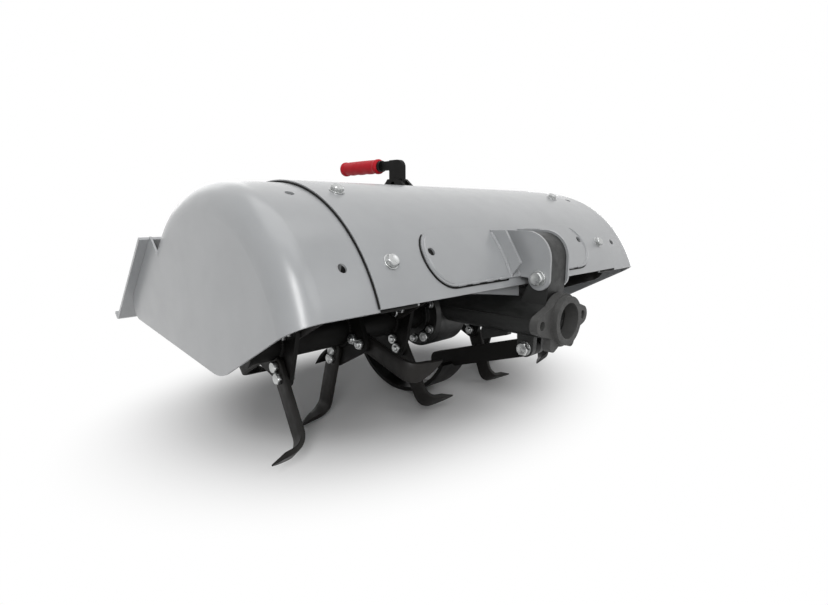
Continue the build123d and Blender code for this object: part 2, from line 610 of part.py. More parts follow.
def blade_template():
    """One blade on a flange's right face: shank along +Z, foot turned towards +X, edge leading at -Y.

    The foot's leading edge is swept back to a point on the trailing side, and ground to a bevel on
    the side towards the axle."""
    edge = BLADE_WIDTH / 2
    left = -BLADE_THICK / 2
    low = Plane.XY.offset(BLADE_ROOT)
    shadow = extrude(low * Pos((left + BLADE_REACH) / 2, 0) * Rectangle(BLADE_REACH - left, BLADE_WIDTH), TIP_RADIUS)
    blade = blade_bar() & shadow
    bow = (SWEEP_START + SWEEP_RUN * (BLADE_REACH - SWEEP_START), -edge + SWEEP_RISE * BLADE_WIDTH)
    far = BLADE_REACH + BLADE_WIDTH
    trim = make_face(Curve(children=[
        ThreePointArc((SWEEP_START, -edge), bow, (BLADE_REACH, edge)),
        Line((BLADE_REACH, edge), (far, edge)),
        Line((far, edge), (far, -BLADE_REACH)),
        Line((far, -BLADE_REACH), (SWEEP_START, -BLADE_REACH)),
        Line((SWEEP_START, -BLADE_REACH), (SWEEP_START, -edge)),
    ]))
    blade -= extrude(low * trim, TIP_RADIUS)
    ground = Plane.XY.offset(TIP_RADIUS - BLADE_THICK / 2 - BEVEL_LAND)
    grinder = extrude(ground * trim, 3 * BLADE_THICK, dir=(0, 0, -1), taper=-BEVEL_ANGLE)
    past_bend = Pos(BLADE_BEND + BLADE_REACH, 0, TIP_RADIUS) * Box(2 * BLADE_REACH, 4 * BLADE_WIDTH, TIP_RADIUS)
    return blade - (grinder & past_bend)


def bolted_blades(index):
    """Four blades on one flange, a quarter turn apart: left-turned and right-turned ones alternate."""
    right = Pos((FLANGE_THICK + BLADE_THICK) / 2, 0, 0) * blade_template()
    left = mirror(right, about=Plane.YZ)
    blades = []
    for corner, blade in enumerate((left, right, left, right)):
        turn = BLADE_ANGLES[index] + 90 * corner - 90
        blades.append(Pos(FLANGE_PLACES[index], 0, 0) * Rot(turn, 0, 0) * blade)
    return Compound(children=blades)


# ---------------------------------------------------------------- rear flap
def rear_flap():
    """Flap sheet that carries on the hood's rear slope down to the ground, with a turned-up lip."""
    low = FLAP_GAP
    high = FLAP_GAP + FLAP_WALL
    tip = FLAP_GAP + FLAP_LIP
    sheet = slab(side_polygon([slope_point(FLAP_START, low), slope_point(FLAP_FOOT, low), slope_point(FLAP_FOOT, tip),
                               slope_point(FLAP_FOOT - FLAP_WALL, tip), slope_point(FLAP_FOOT - FLAP_WALL, high),
                               slope_point(FLAP_START, high)]), -FLAP_HALF, FLAP_HALF)
    y, z = slope_point(FLAP_FOOT, low)
    corner = sheet.edges().filter_by(Axis.X).sort_by_distance((0, y, z))[0]
    return fillet(corner, FLAP_BEND)


def hinge_rod():
    """Rod through all the flap's knuckles."""
    reach = HOOD_HALF - HINGE_INSET
    return rod(HINGE[0], HINGE[1], HINGE_RADIUS, -reach, reach)


def knuckle(ear, fit, x, half):
    """Rolled tube round the hinge rod with the ear that joins it to its sheet."""
    tube = rod(HINGE[0], HINGE[1], KNUCKLE_RADIUS, x - half, x + half) + slab(side_polygon(ear), x - half, x + half)
    return tube - rod(HINGE[0], HINGE[1], HINGE_RADIUS + fit, x - half, x + half)


def flap_knuckles():
    """Three rolled tubes on the flap."""
    low = FLAP_GAP + FLAP_WALL
    ear = [HINGE, slope_point(FLAP_START + KNUCKLE_RADIUS, low),
           slope_point(FLAP_START + KNUCKLE_RADIUS, low + FLAP_WALL / 2),
           slope_point(FLAP_START - KNUCKLE_RADIUS, FLAP_GAP + 1.8 * KNUCKLE_RADIUS)]
    side = HOOD_HALF - FLAP_KNUCKLE_INSET
    return Compound(children=[knuckle(ear, FIT_GAP, x, FLAP_KNUCKLE_HALF) for x in (-side, 0, side)])


def hood_knuckles():
    """Four rolled tubes on the hood's rear edge, beside the flap's."""
    start = SLOPE_LENGTH - 2 * KNUCKLE_RADIUS
    ear = [slope_point(SLOPE_LENGTH, 0), slope_point(start, 0), slope_point(start, HOOD_WALL), HINGE,
           slope_point(SLOPE_LENGTH, KNUCKLE_RADIUS)]
    places = [side * (HOOD_HALF - inset) for side in (-1, 1) for inset in HOOD_KNUCKLE_INSETS]
    return Compound(children=[knuckle(ear, FIT_GAP, x, HOOD_KNUCKLE_HALF) for x in places])


def hood_rear_rail():
    """Angle rail under the hood's rear edge."""
    top = -HOOD_WALL
    wall = SLOPE_LENGTH - RAIL_WALL
    half = HOOD_HALF - CAP_LAP - 1
    outline = [slope_point(SLOPE_LENGTH, top), slope_point(0, top), slope_point(0, top - RAIL_WALL),
               slope_point(wall, top - RAIL_WALL), slope_point(wall, top - RAIL_DEPTH),
               slope_point(SLOPE_LENGTH, top - RAIL_DEPTH)]
    return slab(side_polygon(outline), -half, half)


# ---------------------------------------------------------------- depth skid
def shoe_point(radius, angle):
    """Point of the side view round the middle of the shoe's arc."""
    y, z = polar(radius, angle)
    return (SHOE_Y + y, SHOE_Z + z)


def skid_shoe():
    """Curved sole that runs on the ground behind the gear case."""
    inner = SHOE_RADIUS - SHOE_WALL
    face = side_face(
        CenterArc((SHOE_Y, SHOE_Z), SHOE_RADIUS, SHOE_TOE, SHOE_HEEL - SHOE_TOE),
        Line(shoe_point(SHOE_RADIUS, SHOE_HEEL), shoe_point(inner, SHOE_HEEL)),
        CenterArc((SHOE_Y, SHOE_Z), inner, SHOE_TOE, SHOE_HEEL - SHOE_TOE),
        Line(shoe_point(inner, SHOE_TOE), shoe_point(SHOE_RADIUS, SHOE_TOE)),
    )
    return slab(face, -SHOE_HALF, SHOE_HALF)


def skid_bar():
    """Flat bar on edge from the pivot to the inside of the shoe."""
    half = SKID_BAR / 2
    y, z = bar_line()[1]
    bar = link(PIVOT_Y, PIVOT_Z, SKID_EYE, y, z, SKID_DEPTH / 2, -half, half)
    ring = rod(SHOE_Y, SHOE_Z, SHOE_RADIUS + SKID_DEPTH, -half, half)
    ring -= rod(SHOE_Y, SHOE_Z, SHOE_RADIUS - SHOE_WALL, -half, half)
    below = slab(side_polygon([(SHOE_Y, SHOE_Z), shoe_point(4 * SHOE_RADIUS, SHOE_TOE),
                               shoe_point(4 * SHOE_RADIUS, 270)]), -half, half)
    bar -= ring & below
    return bar - rod(PIVOT_Y, PIVOT_Z, PIVOT_RADIUS + FIT_GAP, -half, half)


def skid_bolt():
    """Pivot bolt of the skid, through the neck's lugs, with its head to the left."""
    reach = SKID_BAR / 2 + LUG_WALL
    return cross_bolt(PIVOT_Y, PIVOT_Z, PIVOT_RADIUS, -reach, reach)


def stem_hole_places():
    """Hole centres on an arc about the pivot, spread either side of the guide."""
    pin_y = STEM_FRONT + STEM_WIDTH / 2
    pin_z = HOOD_RADIUS - HOLE_DEPTH
    radius = hypot(pin_y - PIVOT_Y, pin_z - PIVOT_Z)
    start = degrees(atan2(pin_z - PIVOT_Z, pin_y - PIVOT_Y))
    places = []
    for k in range(HOLE_COUNT):
        y, z = polar(radius, start + (k - HOLES_BELOW) * HOLE_STEP)
        places.append((PIVOT_Y + y, PIVOT_Z + z))
    return places


def depth_stem():
    """Flat bar on edge, from the shoe up through the hood, drilled in a curved row."""
    half = STEM_WALL / 2
    inner = SHOE_RADIUS - SHOE_WALL
    blank = slab(side_polygon([(STEM_FRONT, SHOE_Z), (STEM_BACK, SHOE_Z), (STEM_BACK, STEM_TOP),
                               (STEM_FRONT, STEM_TOP)]), -half, half)
    corner = blank.edges().filter_by(Axis.X).sort_by_distance((0, STEM_FRONT, STEM_TOP))[0]
    blank = fillet(corner, STEM_ROUND)
    foot = slab(side_polygon([(STEM_FRONT, SHOE_Z), (STEM_BACK, SHOE_Z), (STEM_BACK, SHOE_Z - inner),
                              (STEM_FRONT, SHOE_Z - inner)]), -half, half)
    blank += foot & rod(SHOE_Y, SHOE_Z, inner, -half, half)
    for y, z in stem_hole_places():
        blank -= rod(y, z, STEM_HOLE, -half, half)
    return blank


def lever_arm():
    """Flat arm from the stem's top to the grip, with a collar and a round core in the grip."""
    arm = Pos(0, (STEM_BACK + GRIP_FROM) / 2, LEVER_Z) * Box(LEVER_WALL, GRIP_FROM - STEM_BACK, LEVER_DEPTH)
    core = round_y(LEVER_Z, CORE_RADIUS, GRIP_FROM - COLLAR_WIDTH, GRIP_FROM + GRIP_LENGTH - GRIP_CAP)
    return arm + core + round_y(LEVER_Z, GRIP_COLLAR, GRIP_FROM - COLLAR_WIDTH, GRIP_FROM)


def grip():
    """Round hand grip with bevelled ends over the arm's core."""
    body = round_y(LEVER_Z, GRIP_RADIUS, GRIP_FROM, GRIP_FROM + GRIP_LENGTH)
    body = chamfer(body.edges().filter_by(GeomType.CIRCLE), GRIP_CHAMFER)
    return body - round_y(LEVER_Z, CORE_RADIUS, GRIP_FROM, GRIP_FROM + GRIP_LENGTH - GRIP_CAP)


def stem_guide():
    """Pair of two-legged cheeks on the hood's crown that carry the locking pin."""
    inner = STEM_WALL / 2 + GUIDE_GAP
    outer = inner + GUIDE_WALL
    middle = STEM_FRONT + STEM_WIDTH / 2
    cheek = slab(side_polygon([(middle - GUIDE_HALF, 0), (middle + GUIDE_HALF, 0),
                               (middle + GUIDE_HALF, HOOD_RADIUS - HOLE_DEPTH),
                               (middle + GUIDE_SHOULDER, HOOD_RADIUS + GUIDE_TOP),
                               (middle - GUIDE_SHOULDER, HOOD_RADIUS + GUIDE_TOP),
                               (middle - GUIDE_HALF, HOOD_RADIUS)]), inner, outer)
    cheek -= rod(0, 0, HOOD_RADIUS + FIT_GAP, inner, outer)
    y, z = polar(HOOD_RADIUS, degrees(asin(sqrt(1 - (middle / HOOD_RADIUS) ** 2))))
    cheek -= rod(y, z, GUIDE_ARCH, inner, outer)
    cheek -= rod(middle, HOOD_RADIUS + PIN_RISE, PIN_RADIUS + FIT_GAP, inner, outer)
    return Compound(children=[mirror(cheek, about=Plane.YZ), cheek])


# ---------------------------------------------------------------- assembly
# the lowest blades and the shoe's sole stand on one floor
BLADES = [bolted_blades(index) for index in range(len(FLANGE_PLACES))]
AXLE_Z = -min(blades.bounding_box().min.Z for blades in BLADES)
SHOE_Z = SHOE_RADIUS - AXLE_Z

PARTS = {
    "hood_centre": hood_centre,
    "hood_end_left": lambda: hood_end(-1),
    "hood_end_right": lambda: hood_end(1),
    "hood_front_plate": hood_front_plate,
    "hood_rear_rail": hood_rear_rail,
    "hood_knuckles": hood_knuckles,
    "saddle": saddle,
    "saddle_gussets": saddle_gussets,
    "saddle_bolt": saddle_bolt,
    "neck_housing": neck_housing,
    "pto_flange": pto_flange,
    "pto_coupling": pto_coupling,
    "gear_case": gear_case,
    "drain_plug": drain_plug,
    "rotor_shaft": rotor_shaft,
    "rotor_tubes": rotor_tubes,
    "rotor_end_discs": rotor_end_discs,
    "tine_flanges_left": lambda: tine_flanges(range(3)),
    "tine_flanges_right": lambda: tine_flanges(range(3, 6)),
    "rear_flap": rear_flap,
    "flap_knuckles": flap_knuckles,
    "hinge_rod": hinge_rod,
    "skid_bolt": skid_bolt,
    "skid_shoe": skid_shoe,
    "skid_bar": skid_bar,
    "depth_stem": depth_stem,
    "lever_arm": lever_arm,
    "grip": grip,
    "stem_guide": stem_guide,
}
for number, blades in enumerate(BLADES):
    PARTS[f"blades_{number + 1}"] = lambda made=blades: made

os.makedirs("parts", exist_ok=True)
for name, make in PARTS.items():
    piece = Pos(0, AXLE_Y, AXLE_Z) * make()
    piece.label = name
    export_step(piece, f"parts/{name}.step")
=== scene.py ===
"""Rotary tiller attachment: finishes, fasteners, welds and formed sheets over the fixed frame."""

import json
import logging
from dataclasses import dataclass, field
from enum import Enum
from math import asin, cos, degrees, pi, radians, sin
from typing import Any

import bmesh
import bpy
import numpy as np
from mathutils import Euler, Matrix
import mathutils


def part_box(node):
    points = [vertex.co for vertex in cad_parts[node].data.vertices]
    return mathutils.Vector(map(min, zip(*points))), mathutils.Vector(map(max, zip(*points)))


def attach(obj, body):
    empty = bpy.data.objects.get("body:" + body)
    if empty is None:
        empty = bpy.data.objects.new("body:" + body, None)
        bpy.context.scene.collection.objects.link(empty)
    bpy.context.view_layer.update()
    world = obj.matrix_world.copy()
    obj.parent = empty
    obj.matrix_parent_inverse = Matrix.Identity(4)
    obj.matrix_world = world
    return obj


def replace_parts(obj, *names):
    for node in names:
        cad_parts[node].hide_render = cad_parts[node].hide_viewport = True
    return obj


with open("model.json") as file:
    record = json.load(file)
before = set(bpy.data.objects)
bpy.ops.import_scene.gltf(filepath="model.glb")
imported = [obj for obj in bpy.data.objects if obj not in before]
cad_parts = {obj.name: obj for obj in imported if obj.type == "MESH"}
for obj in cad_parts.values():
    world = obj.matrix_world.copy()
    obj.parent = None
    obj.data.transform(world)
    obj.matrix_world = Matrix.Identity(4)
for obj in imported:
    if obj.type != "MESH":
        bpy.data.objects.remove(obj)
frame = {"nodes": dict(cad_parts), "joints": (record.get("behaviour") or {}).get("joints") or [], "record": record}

Array = np.ndarray
Point = tuple[float, float, float]
Pair = tuple[float, float]
Vector = Array | Point
Socket = bpy.types.NodeSocket
Tree = bpy.types.NodeTree

LOG = logging.getLogger("tiller")
MM = 0.001
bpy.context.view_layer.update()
RIPPLE_PITCH = 3.2      # millimetres between the ripples of a hand-laid weld
RIPPLE_SWELL = 0.14     # share of its radius by which a weld swells at a ripple
SHARP_ANGLE = 38.0      # degrees between two faces above which their edge stays sharp
JOIN_MM = 0.002         # points nearer than this become one


# ---------------------------------------------------------------- scene and nodes
def linear(colour: str) -> tuple[float, float, float, float]:
    """Turns an sRGB hex colour into linear red, green, blue and an alpha of 1.

    Args:
        colour: Six hex digits, with or without a leading hash.

    Returns:
        Linear components between 0 and 1, and 1 for alpha.
    """
    parts = [int(colour.lstrip("#")[i:i + 2], 16) / 255 for i in (0, 2, 4)]
    red, green, blue = (c / 12.92 if c <= 0.04045 else ((c + 0.055) / 1.055) ** 2.4 for c in parts)
    return red, green, blue, 1.0


def add_object(name: str, data: bpy.types.ID) -> bpy.types.Object:
    """Puts a mesh, a lamp or a camera into the scene.

    Args:
        name: The object's name.
        data: What the object shows.

    Returns:
        The new object, at the origin and unturned.
    """
    made = bpy.data.objects.new(name, data)
    bpy.context.scene.collection.objects.link(made)
    return made


def fresh_tree(owner: bpy.types.Material | bpy.types.World) -> Tree:
    """Empties the node tree of a material or a world.

    Args:
        owner: The material or the world.

    Returns:
        Its empty tree.
    """
    owner.use_nodes = True
    owner.node_tree.nodes.clear()
    return owner.node_tree


def add_node(tree: Tree, kind: str, settings: dict[str | int, Any] | None = None,
             links: dict[str | int, Socket] | None = None) -> bpy.types.Node:
    """Adds one shader node with its settings and incoming links.

    Args:
        tree: Node tree that takes the node.
        kind: Blender's type name of the node, without the ShaderNode prefix.
        settings: Values by name of a property of the node, or else by name or number of an input.
        links: Output sockets of other nodes by name or number of this node's input.

    Returns:
        The new node.
    """
    made = tree.nodes.new(f"ShaderNode{kind}")
    for name, value in (settings or {}).items():
        if isinstance(name, str) and hasattr(made, name):
            setattr(made, name, value)
        else:
            made.inputs[name].default_value = value
    for name, socket in (links or {}).items():
        tree.links.new(socket, made.inputs[name])
    return made


# ---------------------------------------------------------------- finishes
class Slot(Enum):
    """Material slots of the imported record."""

    SILVER = "silver_paint"
    BLACK = "black_paint"
    BLADE = "blade_steel"
    IRON = "cast_iron"
    STEEL = "steel"
    ZINC = "zinc"
    GRIP = "red_grip"


@dataclass(frozen=True)
class Look:
    """A finish that is made.

    Attributes:
        material: Its material.
        slot: Slot of the record that it stands for.
    """

    material: bpy.types.Material
    slot: Slot


@dataclass(frozen=True)
class Finish:
    """Base of every finish: a painted, plated or moulded surface on Object coordinates.

    Attributes:
        name: Name of the material.
        slot: Slot of the record that the finish stands for.
        colour: Main colour, sRGB hex.
        mottle: Second colour of the slow patches, sRGB hex.
        mottle_mm: Size of the slow patches.
        roughness: Lowest and highest roughness.
        grain_mm: Spacing of the fine grain of the surface.
        grain_depth_mm: Height of that grain.
        metallic: 1 for bare metal, else 0.
        coat: Weight of the clear gloss layer.
        coat_roughness: Roughness of that layer.
        specular: Specular level, 0.5 for a full gloss film and less where dust dulls it.
        edge_mm: Radius to which sharp edges are softened in shading.
    """

    name: str
    slot: Slot
    colour: str
    mottle: str
    mottle_mm: float = 60.0
    roughness: Pair = (0.35, 0.5)
    grain_mm: float = 1.2
    grain_depth_mm: float = 0.02
    metallic: float = 0.0
    coat: float = 0.0
    coat_roughness: float = 0.25
    specular: float = 0.5
    edge_mm: float = 0.6

    def make(self) -> Look:
        """Builds the material.

        Returns:
            The new material with its slot.
        """
        material = bpy.data.materials.new(self.name)
        tree = fresh_tree(material)
        place = add_node(tree, "TexCoord").outputs["Object"]
        shader = add_node(tree, "BsdfPrincipled",
                          {"Metallic": self.metallic, "Coat Weight": self.coat,
                           "Coat Roughness": self.coat_roughness, "Specular IOR Level": self.specular},
                          {"Base Color": self.paint(tree, place), "Roughness": self.polish(tree, place),
                           "Normal": self.relief(tree, place)})
        add_node(tree, "OutputMaterial", {}, {"Surface": shader.outputs["BSDF"]})
        return Look(material, self.slot)

    def noise(self, tree: Tree, place: Socket, size_mm: float, detail: float) -> Socket:
        """Noise whose patches are about a stated size.

        Args:
            tree: Node tree that takes the node.
            place: Coordinates in metres.
            size_mm: Size of one patch.
            detail: Octaves of finer noise.

        Returns:
            Factor socket of the noise.
        """
        made = add_node(tree, "TexNoise", {"Scale": 1 / (size_mm * MM), "Detail": detail}, {"Vector": place})
        return made.outputs["Fac"]

    def patches(self, tree: Tree, place: Socket, size_mm: float, low: float, high: float) -> Socket:
        """Slow noise, of which the usual range from 0.3 to 0.7 is stretched to a stated one.

        Args:
            tree: Node tree that takes the nodes.
            place: Coordinates in metres.
            size_mm: Size of one patch.
            low: Lowest result.
            high: Highest result.

        Returns:
            Socket of the stretched value.
        """
        made = add_node(tree, "MapRange", {"From Min": 0.3, "From Max": 0.7, "To Min": low, "To Max": high},
                        {"Value": self.noise(tree, place, size_mm, 4.0)})
        return made.outputs["Result"]

    def paint(self, tree: Tree, place: Socket) -> Socket:
        """Colour: slow patches of the second colour in the main one."""
        return add_node(tree, "Mix", {"data_type": "RGBA", 6: linear(self.colour), 7: linear(self.mottle)},
                        {0: self.patches(tree, place, self.mottle_mm, 0.0, 1.0)}).outputs[2]

    def polish(self, tree: Tree, place: Socket) -> Socket:
        """Roughness: patches a third as large as those of the colour."""
        return self.patches(tree, place, self.mottle_mm / 3, *self.roughness)

    def relief(self, tree: Tree, place: Socket) -> Socket:
        """Normal: fine grain over edges that are softened to a small radius.

        Args:
            tree: Node tree that takes the nodes.
            place: Coordinates in metres.

        Returns:
            Socket of the normal.
        """
        soft = add_node(tree, "Bevel", {"samples": 4, "Radius": self.edge_mm * MM})
        grain = self.noise(tree, place, self.grain_mm, 2.0)
        bump = add_node(tree, "Bump", {"Strength": 1.0, "Distance": self.grain_depth_mm * MM},
                        {"Height": grain, "Normal": soft.outputs["Normal"]})
        return bump.outputs["Normal"]


@dataclass(frozen=True)
class StovedEnamel(Finish):
    """Silver-grey stoved enamel sprayed on pressed sheet: even, semi-gloss, with a faint orange peel
    and dull patches where hands and dust have been."""

    name: str = "silver stoved enamel"
    slot: Slot = Slot.SILVER
    colour: str = "#A3A5A7"
    mottle: str = "#9C9EA0"
    roughness: Pair = (0.32, 0.4)
    grain_mm: float = 2.4
    grain_depth_mm: float = 0.01
    coat: float = 0.9


@dataclass(frozen=True)
class DippedBlack(Finish):
    """Black chassis paint dipped on castings and bar: almost black, satin, uneven in gloss."""

    name: str = "black chassis paint"
    slot: Slot = Slot.BLACK
    colour: str = "#0A0A09"
    mottle: str = "#100F0E"
    roughness: Pair = (0.4, 0.62)
    grain_mm: float = 1.6
    grain_depth_mm: float = 0.03
    specular: float = 0.15


@dataclass(frozen=True)
class PaintedCasting(Finish):
    """Thin black paint over the rough skin of the neck and case castings: greyer and sandier than the
    dipped bar, with dust held in the tooth."""

    name: str = "painted sand casting"
    slot: Slot = Slot.BLACK
    colour: str = "#121312"
    mottle: str = "#1A1B1A"
    mottle_mm: float = 30.0
    roughness: Pair = (0.36, 0.58)
    grain_mm: float = 1.0
    grain_depth_mm: float = 0.09
    edge_mm: float = 1.2


@dataclass(frozen=True)
class ForgedBlade(Finish):
    """Forged spring steel dipped in thin black paint: fine scale shows through as a slight tooth."""

    name: str = "forged blade steel, painted"
    slot: Slot = Slot.BLADE
    colour: str = "#11100F"
    mottle: str = "#1D1B19"
    mottle_mm: float = 35.0
    roughness: Pair = (0.38, 0.58)
    grain_mm: float = 1.1
    grain_depth_mm: float = 0.04
    specular: float = 0.24


@dataclass(frozen=True)
class SandCasting(Finish):
    """Grey cast iron from a sand mould, left in its skin: matt with a sandy tooth of about a millimetre."""

    name: str = "sand-cast iron"
    slot: Slot = Slot.IRON
    colour: str = "#4A4A49"
    mottle: str = "#3E3E3D"
    mottle_mm: float = 18.0
    roughness: Pair = (0.55, 0.75)
    grain_mm: float = 0.9
    grain_depth_mm: float = 0.12
    edge_mm: float = 1.2


@dataclass(frozen=True)
class TurnedSteel(Finish):
    """Turned and oiled steel of the coupling: bare metal with a slight bloom."""

    name: str = "turned steel"
    slot: Slot = Slot.STEEL
    colour: str = "#77746F"
    mottle: str = "#5C5955"
    mottle_mm: float = 12.0
    roughness: Pair = (0.3, 0.5)
    metallic: float = 1.0


@dataclass(frozen=True)
class BrightZinc(Finish):
    """Bright zinc plating with a clear passivation on fasteners: pale metal, a little cloudy."""

    name: str = "bright zinc plating"
    slot: Slot = Slot.ZINC
    colour: str = "#C2C3C3"
    mottle: str = "#B0B2B1"
    mottle_mm: float = 14.0
    roughness: Pair = (0.24, 0.38)
    metallic: float = 1.0
    grain_depth_mm: float = 0.01
    edge_mm: float = 0.3


@dataclass(frozen=True)
class DippedVinyl(Finish):
    """Soft red vinyl moulded over the lever: slightly waxy, with a fine moulded texture."""

    name: str = "red moulded vinyl"
    slot: Slot = Slot.GRIP
    colour: str = "#CB1728"
    mottle: str = "#BF1424"
    mottle_mm: float = 20.0
    roughness: Pair = (0.5, 0.62)
    specular: float = 0.3
    grain_mm: float = 0.8
    grain_depth_mm: float = 0.03


# The first finish of a slot is that slot's own.
FINISHES: tuple[Finish, ...] = (StovedEnamel(), DippedBlack(), ForgedBlade(), SandCasting(), TurnedSteel(),
                                BrightZinc(), DippedVinyl(), PaintedCasting())
CASTINGS = ("neck_housing", "gear_case")

Looks = dict[type[Finish], Look]


def dress_frame(looks: Looks) -> None:
    """Gives every node of the frame the finish of its slot, and the painted castings their own.

    Args:
        looks: The looks by kind of finish.
    """
    own: dict[Slot, Look] = {}
    for look in looks.values():
        own.setdefault(look.slot, look)
    for part in frame["record"]["subparts"]:
        name = part["node"]
        look = looks[PaintedCasting] if name in CASTINGS else own[Slot(part["material_slot"])]
        for place in frame["nodes"][name].material_slots:
            place.material = look.material
    LOG.info("finishes on %d nodes", len(frame["nodes"]))


# ---------------------------------------------------------------- places in millimetres from the axle
def joint_place(name: str) -> Array:
    """Place of a joint of the frame.

    Args:
        name: The joint's name.

    Returns:
        Its point in metres.
    """
    return np.array(next(joint for joint in frame["joints"] if joint["name"] == name)["pos_m"])


AXLE = joint_place("rotor_spin")
HOOD_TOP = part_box("hood_centre")[1]
HOOD_RADIUS = (HOOD_TOP[2] - AXLE[2]) / MM
HOOD_HALF = HOOD_TOP[0] / MM


def node_box(name: str) -> tuple[Array, Array]:
    """Box of a node of the frame.

    Args:
        name: The node's name.

    Returns:
        The box's middle, in millimetres from the axle, and half of its size.
    """
    low, high = (np.array(corner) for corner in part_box(name))
    return ((low + high) / 2 - AXLE) / MM, (high - low) / 2 / MM


def round_axle(radius: Array | float, angle: Array | float, across: Array | float) -> Array:
    """Points on cylinders about the rotor's axle: (x, R cos a, R sin a), a in degrees up from the rear.

    Args:
        radius: Distance R from the axle.
        angle: Angle a from +Y towards +Z.
        across: The x of each point.

    Returns:
        Points with their coordinates along the last axis.
    """
    radius, turn, across = np.broadcast_arrays(radius, np.radians(angle), across)
    return np.stack([across, radius * np.cos(turn), radius * np.sin(turn)], axis=-1)


def unit(vector: Array) -> Array:
    """Vectors of length one along the last axis, with a guard against a length of nothing."""
    return vector / np.maximum(np.linalg.norm(vector, axis=-1, keepdims=True), 1e-9)


